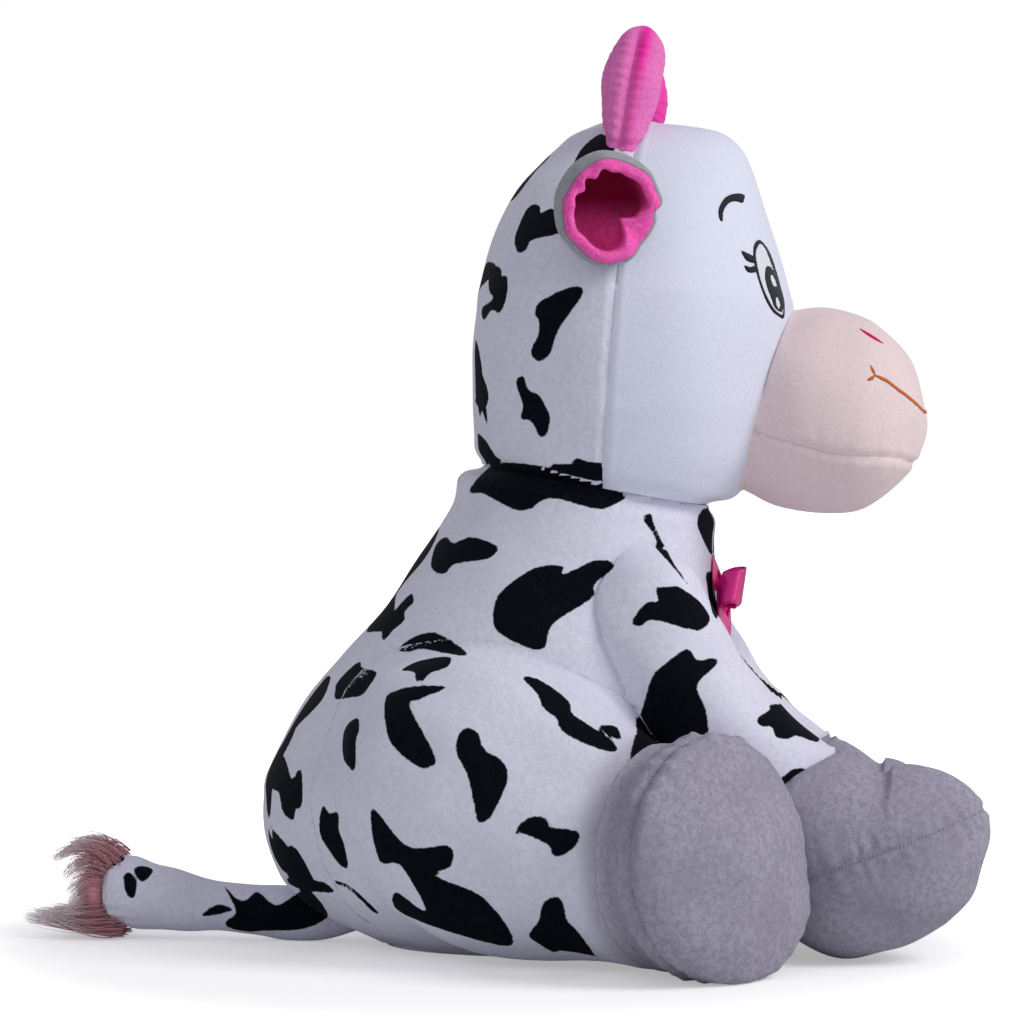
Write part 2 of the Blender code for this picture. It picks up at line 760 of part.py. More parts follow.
def build_leg(shop, name, side, torso_clearance, floors):
    """White thigh, grey band round the foot, grey sole and the filling."""
    below_floor, below_skin, below_filling = floors
    form = leg_form(side)
    hollow = shop.hollow("leg_hollow_" + name, form)
    carve(hollow, below_skin)
    axis = place(math.cos(SOLE_TURN), math.sin(SOLE_TURN), 0, side)
    sole = place(
        HIP_FORWARD + SOLE_FORWARD_SHARE * LEG_REACH, HIP_OUT + SOLE_OUT_SHARE * LEG_SPREAD, 0, side
    )
    sole_side, band_side = shop.seam("sole_seam_" + name, sole, axis)
    foot_side, thigh_side = shop.seam("ankle_seam_" + name, sole - axis * FOOT_BAND, axis)
    common = (torso_clearance, below_floor)
    thigh = shop.cover("leg_cover_" + name, form, PLUSH_WHITE, (*common, foot_side), hollow)
    band = shop.cover(
        "leg_hoof_side_" + name, form, HOOF_GREY, (*common, thigh_side, sole_side), hollow
    )
    pad = shop.cover("leg_sole_" + name, form, HOOF_GREY, (*common, band_side), hollow)
    filling = shop.filling("leg_filling_" + name, form, (torso_clearance, below_filling))
    return [thigh, band, pad, filling]


def build_tail(shop, floors):
    """Tail cover with its filling, and the tuft that comes out of its end."""
    below_floor, below_skin, below_filling = floors
    form = tail_form()
    hollow = shop.hollow("tail_hollow", form)
    carve(hollow, below_skin)
    end = place(TAIL_BACK - TAIL_LENGTH, 0, TAIL_ROOT_RADIUS)
    past_end, before_end = shop.seam("tail_end", end, place(-1, 0, 0))
    cover = shop.cover("tail_cover", form, PLUSH_WHITE, (below_floor, past_end), hollow)
    filling = shop.filling("tail_filling", form, (past_end, below_filling))
    tuft = tuft_form().draw("tail_tuft", 0.0, shop.parts)
    carve(tuft, below_floor)
    carve(tuft, before_end)
    tuft.data.materials.append(make_material("tail_tuft", TUFT_PINK))
    return [cover, filling, tuft]


def ribbon(name, path, closed, shop):
    """A strip of ribbon, standing on edge along a path."""
    shape = bmesh.new()
    half = Vector((0, 0, RIBBON_WIDTH / 2.0))
    edges = []
    points = [shape.verts.new(point - half) for point in path]
    pairs = list(zip(points, points[1:]))
    if closed:
        pairs.append((points[-1], points[0]))
    for start, end in pairs:
        edges.append(shape.edges.new((start, end)))
    made = bmesh.ops.extrude_edge_only(shape, edges=edges)["geom"]
    raised = [item for item in made if isinstance(item, bmesh.types.BMVert)]
    bmesh.ops.translate(shape, verts=raised, vec=half * 2.0)
    mesh = bpy.data.meshes.new(name)
    shape.to_mesh(mesh)
    shape.free()
    strip = bpy.data.objects.new(name, mesh)
    shop.parts.objects.link(strip)
    wall = strip.modifiers.new("thickness", "SOLIDIFY")
    wall.thickness = RIBBON_THICKNESS
    wall.offset = 0.0
    strip.data.materials.append(make_material(name, RIBBON_PINK))
    return strip


def meet(form_shape, start, direction):
    """Where a line from start first meets a drawn form."""
    graph = bpy.context.evaluated_depsgraph_get()
    _, point, _, _ = form_shape.evaluated_get(graph).ray_cast(start, direction)
    return point


def loop_path(side, forward):
    """A teardrop in plan: from the knot outward and back again."""
    root = KNOT_WIDTH / 2.0 + GAP + RIBBON_THICKNESS
    path = []
    for step in range(LOOP_POINTS):
        turn = 2.0 * math.pi * step / LOOP_POINTS
        outward = root + LOOP_LENGTH * (1.0 - math.cos(turn)) / 2.0
        swell = math.sin(turn) * math.sin(turn / 2.0)
        path.append(place(forward + swell * LOOP_DEPTH / 2.0, outward, BOW_UP, side))
    return path


def build_bow(shop, torso_clearance):
    """Two loops and two tails of ribbon round a knot."""
    chest = meet(torso_clearance, place(OVERRUN, 0, BOW_UP), place(-1, 0, 0))
    forward = KNOT_DEPTH / 2.0 - chest.y
    pieces = []
    bpy.ops.mesh.primitive_cube_add(size=1.0)
    knot = bpy.context.object
    knot.name = "bow_knot"
    knot.data.name = "bow_knot"
    knot.data.transform(knot.matrix_world)
    for vertex in knot.data.vertices:
        vertex.co = Vector(
            (vertex.co.x * KNOT_WIDTH, vertex.co.y * KNOT_DEPTH, vertex.co.z * KNOT_HEIGHT)
        )
    knot.location = place(forward, 0, BOW_UP)
    round_edges = knot.modifiers.new("folds", "BEVEL")
    round_edges.width = KNOT_DEPTH / 4.0
    round_edges.segments = 2
    carve(knot, torso_clearance)
    move_to(knot, shop.parts)
    knot.data.materials.append(make_material("bow_knot", RIBBON_PINK))
    pieces.append(knot)
    for name, side in SIDES:
        pieces.append(ribbon("bow_loop_" + name, loop_path(side, forward), True, shop))
        pieces.append(build_bow_tail(shop, name, side, forward))
    return pieces


def build_bow_tail(shop, name, side, forward):
    """A ribbon end that hangs from the knot with a gentle wave."""
    bpy.ops.mesh.primitive_grid_add(x_subdivisions=1, y_subdivisions=BOW_TAIL_STEPS, size=1.0)
    strip = bpy.context.object
    strip.name = "bow_tail_" + name
    top = BOW_UP - max(KNOT_HEIGHT, RIBBON_WIDTH) / 2.0 - GAP
    for vertex in strip.data.vertices:
        along = 0.5 - vertex.co.y
        across = vertex.co.x
        sway = math.sin(along * math.pi) * KNOT_DEPTH / 4.0
        outward = RIBBON_WIDTH / 4.0 + along * BOW_TAIL_SPREAD + across * RIBBON_WIDTH / 2.0
        vertex.co = place(forward + sway, outward, top - along * BOW_TAIL_LENGTH, side)
    move_to(strip, shop.parts)
    wall = strip.modifiers.new("thickness", "SOLIDIFY")
    wall.thickness = RIBBON_THICKNESS
    wall.offset = 0.0
    strip.data.materials.append(make_material(strip.name, RIBBON_PINK))
    return strip


def stand_on_origin(shop, origin):
    """Moves the whole toy so that the middle of its base is the origin."""
    bpy.context.view_layer.update()
    graph = bpy.context.evaluated_depsgraph_get()
    corners = []
    for piece in shop.parts.objects:
        if piece.type == "MESH":
            seen = piece.evaluated_get(graph)
            corners += [seen.matrix_world @ Vector(corner) for corner in seen.bound_box]
    middle = [
        (min(c[axis] for c in corners) + max(c[axis] for c in corners)) / 2.0 for axis in range(2)
    ]
    origin.location = (-middle[0], -middle[1], 0)


def main():
    for old in list(bpy.data.objects):
        bpy.data.objects.remove(old)
    shop = Workshop()
    origin = add_empty("cow_origin", (0, 0, 0), shop.parts)
    torso = torso_form()
    head = head_form()
    torso_clearance = shop.cutter("torso_clearance", torso, GAP)
    head_clearance = shop.cutter("head_clearance", head, GAP)
    floors = floor_cutters(shop)
    body = build_torso(shop, torso, floors) + build_bow(shop, torso_clearance)
    head_pieces = build_head(shop, head) + build_muzzle(shop, head_clearance)
    neck = add_empty("neck_pivot", place(NECK_FORWARD, 0, NECK_UP), shop.parts)
    pivots = [neck]
    for name, side in SIDES:
        head_pieces += build_horn(shop, name, side, head_clearance)
        beside = place(EAR_FORWARD, OVERRUN, EAR_UP, side)
        ear_root = meet(head_clearance, beside, place(0, -1, 0, side))
        ear = build_ear(shop, name, side, ear_root, head)
        ear_pivot = add_empty("ear_pivot_" + name, ear_root, shop.parts)
        hang(ear, ear_pivot)
        hang([ear_pivot], neck)
        leg_clearance = shop.cutter("leg_clearance_" + name, leg_form(side), GAP)
        arm = build_arm(shop, name, side, (torso_clearance, leg_clearance))
        shoulder = place(SHOULDER_FORWARD, SHOULDER_OUT, SHOULDER_UP, side)
        arm_pivot = add_empty("shoulder_pivot_" + name, shoulder, shop.parts)
        hang(arm, arm_pivot)
        leg = build_leg(shop, name, side, torso_clearance, floors)
        hip = place(HIP_FORWARD, HIP_OUT, HIP_UP, side)
        leg_pivot = add_empty("hip_pivot_" + name, hip, shop.parts)
        hang(leg, leg_pivot)
        pivots += [arm_pivot, leg_pivot]
    hang(head_pieces, neck)
    tail_pivot = add_empty("tail_pivot", place(TAIL_BACK, 0, TAIL_ROOT_RADIUS), shop.parts)
    hang(build_tail(shop, floors), tail_pivot)
    pivots.append(tail_pivot)
    hang(body + pivots + list(shop.cutters.objects), origin)
    stand_on_origin(shop, origin)


main()
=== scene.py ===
import json
import math
import random

import bmesh
import bpy
import numpy as np
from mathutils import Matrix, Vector
from mathutils.bvhtree import BVHTree
from mathutils.geometry import delaunay_2d_cdt


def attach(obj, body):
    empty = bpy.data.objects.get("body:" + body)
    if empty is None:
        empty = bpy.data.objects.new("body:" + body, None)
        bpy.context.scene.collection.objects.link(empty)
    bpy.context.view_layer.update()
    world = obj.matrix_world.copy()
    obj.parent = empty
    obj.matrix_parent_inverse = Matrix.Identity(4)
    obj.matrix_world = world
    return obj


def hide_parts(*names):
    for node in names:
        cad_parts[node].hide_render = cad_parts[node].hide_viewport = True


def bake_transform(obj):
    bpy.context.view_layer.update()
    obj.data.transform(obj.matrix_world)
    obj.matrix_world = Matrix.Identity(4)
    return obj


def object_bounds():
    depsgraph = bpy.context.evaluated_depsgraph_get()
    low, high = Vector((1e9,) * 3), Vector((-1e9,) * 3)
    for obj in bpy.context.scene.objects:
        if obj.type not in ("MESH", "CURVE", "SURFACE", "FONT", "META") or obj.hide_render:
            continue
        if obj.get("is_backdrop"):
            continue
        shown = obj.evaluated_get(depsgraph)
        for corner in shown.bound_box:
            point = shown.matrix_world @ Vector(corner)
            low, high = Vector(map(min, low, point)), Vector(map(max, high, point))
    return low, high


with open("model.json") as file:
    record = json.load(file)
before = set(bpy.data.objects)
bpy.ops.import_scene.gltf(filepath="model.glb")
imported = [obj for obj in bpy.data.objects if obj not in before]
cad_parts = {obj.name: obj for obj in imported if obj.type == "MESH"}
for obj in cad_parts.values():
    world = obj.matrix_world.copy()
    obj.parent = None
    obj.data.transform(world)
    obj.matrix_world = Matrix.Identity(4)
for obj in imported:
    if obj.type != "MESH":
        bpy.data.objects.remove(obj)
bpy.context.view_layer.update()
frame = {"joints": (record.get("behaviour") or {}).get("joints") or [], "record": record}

# Plush cow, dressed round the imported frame. Forward is -Y, up is +Z, the cow's right side is at -X.

jointPlace = {joint["name"]: np.array(joint["pos_m"]) for joint in frame["joints"]}
neckPlace = jointPlace["head_turn"]
neckNormal = next(np.array(joint["axis"]) for joint in frame["joints"] if joint["name"] == "head_turn")
seatMiddle = np.array(frame["record"]["mounts"][0]["pos_m"])
sides = (("right", 1), ("left", -1))
aheadOfSeat = .006  # how far the cow's middle lies ahead of the seat mount
cowMiddle = np.array([0.0, seatMiddle[1] - aheadOfSeat, 0.0])


def heading(forward, outward, up, side=1):
    return np.array([-side * outward, -forward, up], float)


# Camera and stage

shot = {
    "azimuth": -83.0,
    "distance": 2.2,
    "height": 0.303,
    "pixel": 0.00065,  # metres on the middle plane behind one pixel
    "across": 0.0026,  # the frame's centre column, along the cow
    "horizonRow": 477,
    "frame": 1024,
    "sensor": 36.0,
}


def shotAxes():
    turn = math.radians(shot["azimuth"])
    toward = np.array([math.sin(turn), -math.cos(turn), 0.0])
    rightward = np.array([math.cos(turn), math.sin(turn), 0.0])
    return toward, rightward


def shotStand():
    toward, rightward = shotAxes()
    return cowMiddle + toward * shot["distance"] + rightward * shot["across"] + np.array([0, 0, shot["height"]])


def rayThrough(column, row):
    toward, rightward = shotAxes()
    reach = shot["distance"] / shot["pixel"]
    way = -toward + rightward * (column - shot["frame"] / 2) / reach
    way = way + np.array([0, 0, 1]) * (shot["horizonRow"] - row) / reach
    return way / np.linalg.norm(way)


def placeObject(name, data):
    made = bpy.data.objects.new(name, data)
    bpy.context.scene.collection.objects.link(made)
    return made


def makeCamera():
    data = bpy.data.cameras.new("camera")
    data.sensor_width = shot["sensor"]
    data.lens = shot["distance"] / shot["pixel"] * shot["sensor"] / shot["frame"]
    data.shift_y = (shot["horizonRow"] - shot["frame"] / 2) / shot["frame"]
    camera = placeObject("camera", data)
    camera.location = shotStand()
    camera.rotation_euler = (math.pi / 2, 0, math.radians(shot["azimuth"]))
    bpy.context.scene.camera = camera


def feed(tree, socket, value):
    # a link where the value is another node's socket, and otherwise a constant
    if isinstance(value, bpy.types.NodeSocket):
        tree.links.new(value, socket)
    else:
        socket.default_value = value


def treeNode(tree, kind, inputs, **settings):
    node = tree.nodes.new(kind)
    for name, value in settings.items():
        setattr(node, name, value)
    for name, value in inputs.items():
        feed(tree, node.inputs[name], value)
    return node


def addNode(tree, kind, **settings):
    # a shader node; the names with a capital are its inputs
    inputs = {name.replace("_", " "): value for name, value in settings.items() if name[0].isupper()}
    settings = {name: value for name, value in settings.items() if not name[0].isupper()}
    return treeNode(tree, "ShaderNode" + kind, inputs, **settings)


def mathOf(tree, operation, *values):
    return treeNode(tree, "ShaderNodeMath", dict(enumerate(values)), operation=operation).outputs[0]


def rampOf(tree, value, low, high, first=0.0, second=1.0):
    return addNode(tree, "MapRange", interpolation_type="SMOOTHSTEP", Value=value, From_Min=low, From_Max=high,
                   To_Min=first, To_Max=second).outputs["Result"]


lighting = {
    "lamps": {"keyLamp": {"watts": 37.0, "size": 1.2, "place": (-0.9, -2.2, 1.9), "colour": (1.0, 0.985, 0.97)},
              "fillLamp": {"watts": 1.8, "size": 2.2, "place": (-2.4, 0.2, 1.1), "colour": (0.84, 0.86, 1.0)}},
    "aim": (0, -0.05, 0.28), "skyStrength": 0.41, "skyColour": (0.92, 0.93, 1.0),
    "floorSize": 60, "floorDrop": 0.0004, "floorShade": 0.90, "floorGlow": 0.38, "glowNear": 0.26, "glowFar": 0.46,
}


def makeStage():
    scene = bpy.context.scene
    scene.view_settings.view_transform = "Standard"
    for name, lamp in lighting["lamps"].items():
        data = bpy.data.lights.new(name, "AREA")
        data.energy, data.size, data.color = lamp["watts"], lamp["size"], lamp["colour"]
        made = placeObject(name, data)
        made.location = lamp["place"]
        aim = Vector(lighting["aim"]) - Vector(lamp["place"])
        made.rotation_euler = aim.to_track_quat("-Z", "Y").to_euler()
    scene.world = bpy.data.worlds.new("studio")
    scene.world.use_nodes = True
    tree = scene.world.node_tree
    tree.nodes.clear()
    path = addNode(tree, "LightPath")
    seen = mathOf(tree, "MAXIMUM", path.outputs["Is Camera Ray"], path.outputs["Is Glossy Ray"])
    sky = addNode(tree, "Background", Color=(*lighting["skyColour"], 1), Strength=lighting["skyStrength"])
    white = addNode(tree, "Background", Color=(1, 1, 1, 1))
    mix = treeNode(tree, "ShaderNodeMixShader", {0: seen, 1: sky.outputs[0], 2: white.outputs[0]})
    treeNode(tree, "ShaderNodeOutputWorld", {0: mix.outputs[0]})
    bpy.ops.mesh.primitive_plane_add(size=lighting["floorSize"])
    floor = bpy.context.object
    floor.name = "floor"
    floor.location = (0, 0, -lighting["floorDrop"])
    material = bpy.data.materials.new("floorPaper")
    material.use_nodes = True
    tree = material.node_tree
    tree.nodes.clear()
    paper = addNode(tree, "BsdfDiffuse", Color=(lighting["floorShade"],) * 3 + (1,))
    place = addNode(tree, "TexCoord").outputs["Object"]
    away = treeNode(tree, "ShaderNodeVectorMath", {0: place}, operation="LENGTH").outputs["Value"]
    level = rampOf(tree, away, lighting["glowNear"], lighting["glowFar"], lighting["floorGlow"])
    seen = mathOf(tree, "MULTIPLY", addNode(tree, "LightPath").outputs["Is Camera Ray"], level)
    glow = addNode(tree, "Emission", Strength=seen)
    both = treeNode(tree, "ShaderNodeAddShader", {0: paper.outputs[0], 1: glow.outputs[0]})
    treeNode(tree, "ShaderNodeOutputMaterial", {0: both.outputs[0]})
    floor.data.materials.append(material)
    floor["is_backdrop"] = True


makeCamera()
makeStage()
print("camera and stage are set")


# Materials

def mixColours(tree, factor, first, second):
    mix = addNode(tree, "Mix", data_type="RGBA")
    for index, value in ((0, factor), (6, first), (7, second)):
        feed(tree, mix.inputs[index], (*value, 1) if isinstance(value, tuple) else value)
    return mix.outputs[2]


def noiseOf(tree, where, scale, detail, roughness):
    return addNode(tree, "TexNoise", Vector=where, Scale=scale, Detail=detail, Roughness=roughness).outputs[0]


def startCloth(name, roughness, specular):
    # a material with its tree, its shader and the object's own coordinates
    material = bpy.data.materials.new(name)
    material.use_nodes = True
    tree = material.node_tree
    shader = tree.nodes["Principled BSDF"]
    shader.inputs["Roughness"].default_value = roughness
    shader.inputs["Specular IOR Level"].default_value = specular
    return material, tree, shader, addNode(tree, "TexCoord").outputs["Object"]


def finishCloth(tree, shader, colour, height, strength, depth):
    bump = addNode(tree, "Bump", Strength=strength, Distance=depth, Height=height)
    feed(tree, shader.inputs["Base Color"], colour)
    feed(tree, shader.inputs["Normal"], bump.outputs[0])


# shade and ink set where the painted shade between the fibres comes in
plush = {
    "roughness": .92, "specular": .22, "inkSpecular": .08, "sheenRoughness": .45, "tintGain": 1.1, "tintLift": .05,
    "fibreGrain": (3.0, .65), "tuftGrain": (2.0, .55), "napGrain": (2.0, .5), "fibreShare": .55, "tuftShare": .45,
    "fibreHeight": .6, "shade": (.34, .66), "nap": (.42, .70), "ink": (.40, .72),
}


def plushMaterial(name, light, deep, sheen, pile, spots=None, fade=None):
    # short pile: painted shade deepens the colour between the fibres, where the bump sinks, and printed spots follow
    # an attribute
    material, tree, shader, where = startCloth(name, plush["roughness"], plush["specular"])
    tint = [min(1.0, part * plush["tintGain"] + plush["tintLift"]) for part in light]
    for label, value in (("Sheen Weight", sheen), ("Sheen Roughness", plush["sheenRoughness"]),
                         ("Sheen Tint", (*tint, 1))):
        shader.inputs[label].default_value = value
    fibres, tufts, nap = (noiseOf(tree, where, pile[kind + "Scale"], *plush[kind + "Grain"])
                          for kind in ("fibre", "tuft", "nap"))

    def summed(fibreShare, tuftShare):
        return mathOf(tree, "ADD", mathOf(tree, "MULTIPLY", fibres, fibreShare),
                      mathOf(tree, "MULTIPLY", tufts, tuftShare))

    def aboutZero(noise, size):
        return mathOf(tree, "MULTIPLY", mathOf(tree, "SUBTRACT", noise, 0.5), size)

    # painted shade: where the fibre and tuft noises sink the bump, the colour turns to the deep one
    shade = summed(plush["fibreShare"], plush["tuftShare"])
    colour = mixColours(tree, rampOf(tree, shade, *plush["shade"]), deep, light)
    colour = mixColours(tree, rampOf(tree, nap, *plush["nap"], 0.0, pile["napDepth"]), colour, deep)
    if fade:
        share = addNode(tree, "Attribute", attribute_name="fade").outputs["Fac"]
        share = mathOf(tree, "MULTIPLY", share, mathOf(tree, "ADD", aboutZero(tufts, fade["broken"]), 1.0))
        colour = mixColours(tree, share, colour, fade["colour"])
    if spots:
        mask = addNode(tree, "Attribute", attribute_name="spotDistance").outputs["Fac"]
        ragged = mathOf(tree, "ADD", mask, aboutZero(fibres, spots["ragged"]))
        edge = mathOf(tree, "ADD", ragged, aboutZero(tufts, spots["wavy"]))
        inked = rampOf(tree, edge, -spots["soft"], spots["soft"])
        # the spots' ink gets the same painted shade between the fibres
        ink = mixColours(tree, rampOf(tree, shade, *plush["ink"]), spots["deep"], spots["light"])
        colour = mixColours(tree, inked, colour, ink)
        feed(tree, shader.inputs["Sheen Weight"],
             mathOf(tree, "MULTIPLY", mathOf(tree, "SUBTRACT", 1.0, inked), sheen))
        feed(tree, shader.inputs["Specular IOR Level"],
             rampOf(tree, inked, 0.0, 1.0, plush["specular"], plush["inkSpecular"]))
    finishCloth(tree, shader, colour, summed(plush["fibreHeight"], 1.0), pile["bump"], pile["bumpHeight"])
    return material


bodyPile = {"fibreScale": 900, "tuftScale": 260, "napScale": 22, "napDepth": 0.45, "bump": 0.40,
            "bumpHeight": 0.0010}
facePile = {"fibreScale": 1300, "tuftScale": 420, "napScale": 16, "napDepth": 0.20, "bump": 0.35,
            "bumpHeight": 0.0008}
# the ink's deep colour is its painted shade between the fibres
spotInk = {"soft": 0.0005, "ragged": 0.0016, "wavy": 0.0016, "deep": (0.0015, 0.002, 0.005),
           "light": (0.005, 0.006, 0.012)}
hoofGrey = (0.360, 0.345, 0.420)
# each cloth's second colour is its painted shade between the fibres
cloth = {
    "body": plushMaterial("spottedPlush", (0.845, 0.84, 0.95), (0.73, 0.72, 0.86), 0.25, bodyPile, spotInk,
                          {"colour": hoofGrey, "broken": 0.9}),
    "face": plushMaterial("facePlush", (0.82, 0.84, 0.96), (0.75, 0.78, 0.92), 0.25, facePile),
    "muzzle": plushMaterial("muzzlePlush", (0.90, 0.765, 0.765), (0.83, 0.66, 0.67), 0.25, facePile),
    # the horn's fade colour is its painted shade
    "horn": plushMaterial("hornPlush", (0.92, 0.27, 0.62), (0.82, 0.15, 0.50), 0.30, facePile, None,
                          {"colour": (1.0, 0.02, 0.42), "broken": 0.3}),
    "earGrey": plushMaterial("earGreyPlush", (0.42, 0.42, 0.46), (0.31, 0.31, 0.34), 0.20, bodyPile),
    # the lining's fade colour is its painted shade deep in the cup
    "lining": plushMaterial("liningPlush", (1.0, 0.20, 0.57), (0.95, 0.05, 0.42), 0.25, facePile, None,
                            {"colour": (0.20, 0.0, 0.035), "broken": 0.1}),
    "tuftRoot": plushMaterial("tuftRoot", (0.74, 0.36, 0.39), (0.62, 0.25, 0.29), 0.20, facePile),
    "hoof": plushMaterial("hoofPlush", (0.43, 0.41, 0.50), (0.28, 0.265, 0.34), 0.14, bodyPile, None,
                          {"colour": (0.80, 0.77, 0.86), "broken": 0.9}),
}
print("cloth is mixed")


# Forms: rings laid along a line, closed by a pole at each end

lofting = {"fine": 40, "leastHalf": .0002, "leastColumns": 24}


def splinePart(before, here, after, beyond, part):
    # a smooth curve through four rows, a part of the way from the second to the third
    return 0.5 * (2 * here + (after - before) * part
                  + (2 * before - 5 * here + 4 * after - beyond) * part ** 2
                  + (3 * here - before - 3 * after + beyond) * part ** 3)


def alongRows(ends, steps):
    # the curve through rows that hold one more row at each end
    base = np.minimum(steps.astype(int), len(ends) - 4)
    return splinePart(*(ends[base + offset] for offset in range(4)), (steps - base)[:, None])


def throughRows(rows, steps, mirrored):
    # widths change sign past a pole, centres do not
    sign = -1.0 if mirrored else 1.0
    return alongRows(np.vstack([rows[1] * sign, rows, rows[-2] * sign]), steps)


def unit(vectors):
    return vectors / np.maximum(np.linalg.norm(vectors, axis=-1, keepdims=True), 1e-9)


def walkedAlong(places):
    return np.concatenate([[0], np.cumsum(np.linalg.norm(np.diff(places, axis=0), axis=1))])


def pickedAt(steps, walked, values):
    # each column of the values, at the given steps of the walk
    return np.stack([np.interp(steps, walked, column) for column in values.T], axis=1)


def ringFaces(rings, columns, closed=False):
    # quads between rings of points that follow each other in one list
    return [(ring * columns + column, ring * columns + (column + 1) % columns,
             (ring + 1) % rings * columns + (column + 1) % columns, (ring + 1) % rings * columns + column)
            for ring in range(rings if closed else rings - 1) for column in range(columns)]


def closedRings(rings, columns):
    # the same, with fans to a first and a last pole that follow the rings in the list
    faces = ringFaces(rings, columns)
    low, last = rings * columns, (rings - 1) * columns
    for column in range(columns):
        following = (column + 1) % columns
        faces += [(low, following, column), (low + 1, last + column, last + following)]
    return faces


def loftForm(centres, firstHalf, otherHalf, first, level, spacing, square=False, calm=0):
    # level keeps the rings flat, square sets them all across one line, and calm evens out their directions
    centres = np.array(centres, float)
    halves = np.stack([firstHalf, otherHalf], axis=1)
    fine = np.linspace(0, len(centres) - 1, lofting["fine"] * len(centres))
    walked = walkedAlong(np.concatenate([throughRows(centres, fine, False), throughRows(halves, fine, True)], axis=1))
    steps = np.interp(np.linspace(0, walked[-1], int(walked[-1] / spacing) + 1)[1:-1], walked, fine)
    middle = throughRows(centres, steps, False)
    reach = np.maximum(throughRows(halves, steps, True), lofting["leastHalf"])
    ways = np.array([centres[min(i + 1, len(centres) - 1)] - centres[max(i - 1, 0)]
                     for i in range(len(centres))])
    ways = unit(ways if not square else np.tile(centres[-1] - centres[0], (len(centres), 1)))
    for _ in range(calm):
        ways[1:-1] = unit(ways[:-2] + 2 * ways[1:-1] + ways[2:])
    way = unit(pickedAt(steps, np.arange(len(ways)), ways))
    if level:
        one = np.tile([1.0, 0, 0], (len(steps), 1))
        other = np.tile([0, 1.0, 0], (len(steps), 1))
    else:
        one = np.tile(np.array(first, float), (len(steps), 1))
        one = unit(one - way * np.sum(one * way, axis=1, keepdims=True))
        other = np.cross(way, one)
    girth = 2 * math.pi * np.sqrt((halves ** 2).mean(axis=1)).max()
    columns = max(lofting["leastColumns"], int(girth / spacing))
    angles = np.arange(columns) * 2 * math.pi / columns
    points = (middle[:, None, :]
              + one[:, None, :] * (np.cos(angles)[None, :] * reach[:, :1])[..., None]
              + other[:, None, :] * (np.sin(angles)[None, :] * reach[:, 1:])[..., None])
    points = np.concatenate([points.reshape(-1, 3), centres[:1], centres[-1:]])
    return points, closedRings(len(steps), columns)


def makePiece(name, points, faces, material):
    mesh = bpy.data.meshes.new(name)
    mesh.from_pydata([tuple(p) for p in points], [], faces)
    mesh.validate()
    shape = bmesh.new()
    shape.from_mesh(mesh)
    if shape.calc_volume(signed=True) < 0:
        bmesh.ops.reverse_faces(shape, faces=shape.faces)
    for face in shape.faces:
        face.smooth = True
    shape.to_mesh(mesh)
    shape.free()
    piece = placeObject(name, mesh)
    mesh.materials.append(material)
    return piece


def pointsOf(piece):
    flat = np.empty(len(piece.data.vertices) * 3)
    piece.data.vertices.foreach_get("co", flat)
    return flat.reshape(-1, 3)


def normalsOf(piece):
    flat = np.empty(len(piece.data.vertices) * 3)
    piece.data.vertex_normals.foreach_get("vector", flat)
    return flat.reshape(-1, 3)


def setPoints(piece, points):
    piece.data.vertices.foreach_set("co", points.ravel())
    piece.data.update()


def lift(piece, heights):
    setPoints(piece, pointsOf(piece) + normalsOf(piece) * heights[:, None])


def keepAttribute(piece, name, values):
    attribute = piece.data.attributes.new(name, "FLOAT", "POINT")
    attribute.data.foreach_set("value", np.asarray(values, np.float32))


def eased(values, low, high):
    share = np.clip((values - low) / (high - low), 0, 1)
    return share * share * (3 - 2 * share)


def clothTree(piece):
    return BVHTree.FromPolygons([v.co for v in piece.data.vertices], [p.vertices[:] for p in piece.data.polygons])


def seamLoop(form, spot, normal, count, outside=.25):
    # points and normals round a form where a plane crosses it
    normal, one, other = seamAxes(normal)
    tree = clothTree(form)
    rows = []
    for step in range(count):
        turn = 2 * math.pi * step / count
        way = one * math.cos(turn) + other * math.sin(turn)
        hit, outward, _, _ = tree.ray_cast(Vector(spot + way * outside), Vector(-way))
        if hit is not None:
            rows.append((np.array(hit), np.array(outward)))
    return rows


def waves(turns, seed, low, high, count=7):
    # a steady ripple of mixed lengths, between low and high waves a turn
    rng = random.Random(seed)
    total = np.zeros_like(turns)
    for _ in range(count):
        total += np.sin(turns * rng.randint(low, high) + rng.uniform(0, 2 * math.pi))
    return total / math.sqrt(count)


def lumps(form, points, side=0, count=9, lengths=(0.6, 1.5)):
    # soft unevenness of the stuffing
    height, size, seed = form["lumps"]
    rng = random.Random(seed + side)
    total = np.zeros(len(points))
    for _ in range(count):
        way = np.array([rng.gauss(0, 1) for _ in range(3)])
        way = way / np.linalg.norm(way) * rng.uniform(*lengths) * 2 * math.pi / size
        total += np.sin(points @ way + rng.uniform(0, 2 * math.pi))
    return height * (total / math.sqrt(count))


def seamAxes(normal):
    normal = unit(np.array(normal, float))
    helper = np.array([0, 0, 1.0]) if abs(normal[2]) < 0.8 else np.array([1.0, 0, 0])
    one = unit(np.cross(normal, helper))
    return normal, one, np.cross(normal, one)


def seamHeights(points, spot, normal, seam, side=0, puffAt=2.2, rimPower=6):
    # cloth drawn in along a plane, with gathers that fade away from it
    normal, one, other = seamAxes(normal)
    arm = points - spot
    away = arm @ normal
    turn = np.arctan2(arm @ other, arm @ one)
    heights = -seam["depth"] * np.exp(-(away / seam["width"]) ** 2)
    heights += seam.get("puff", 0.0) * np.exp(-(np.abs(away) / seam["width"] - puffAt) ** 2)
    if seam.get("gathers"):
        near = np.exp(-np.abs(away) / seam["reach"]) * (1 - np.exp(-(away / seam["width"]) ** 2))
        if seam.get("rimRadius"):
            near = near * np.clip(np.hypot(arm @ one, arm @ other) / seam["rimRadius"], 0, 1) ** rimPower
        heights += seam["gatherHeight"] * waves(turn, seam["seed"] + side, *seam["gathers"]) * near
    return heights


clothGap = .0006


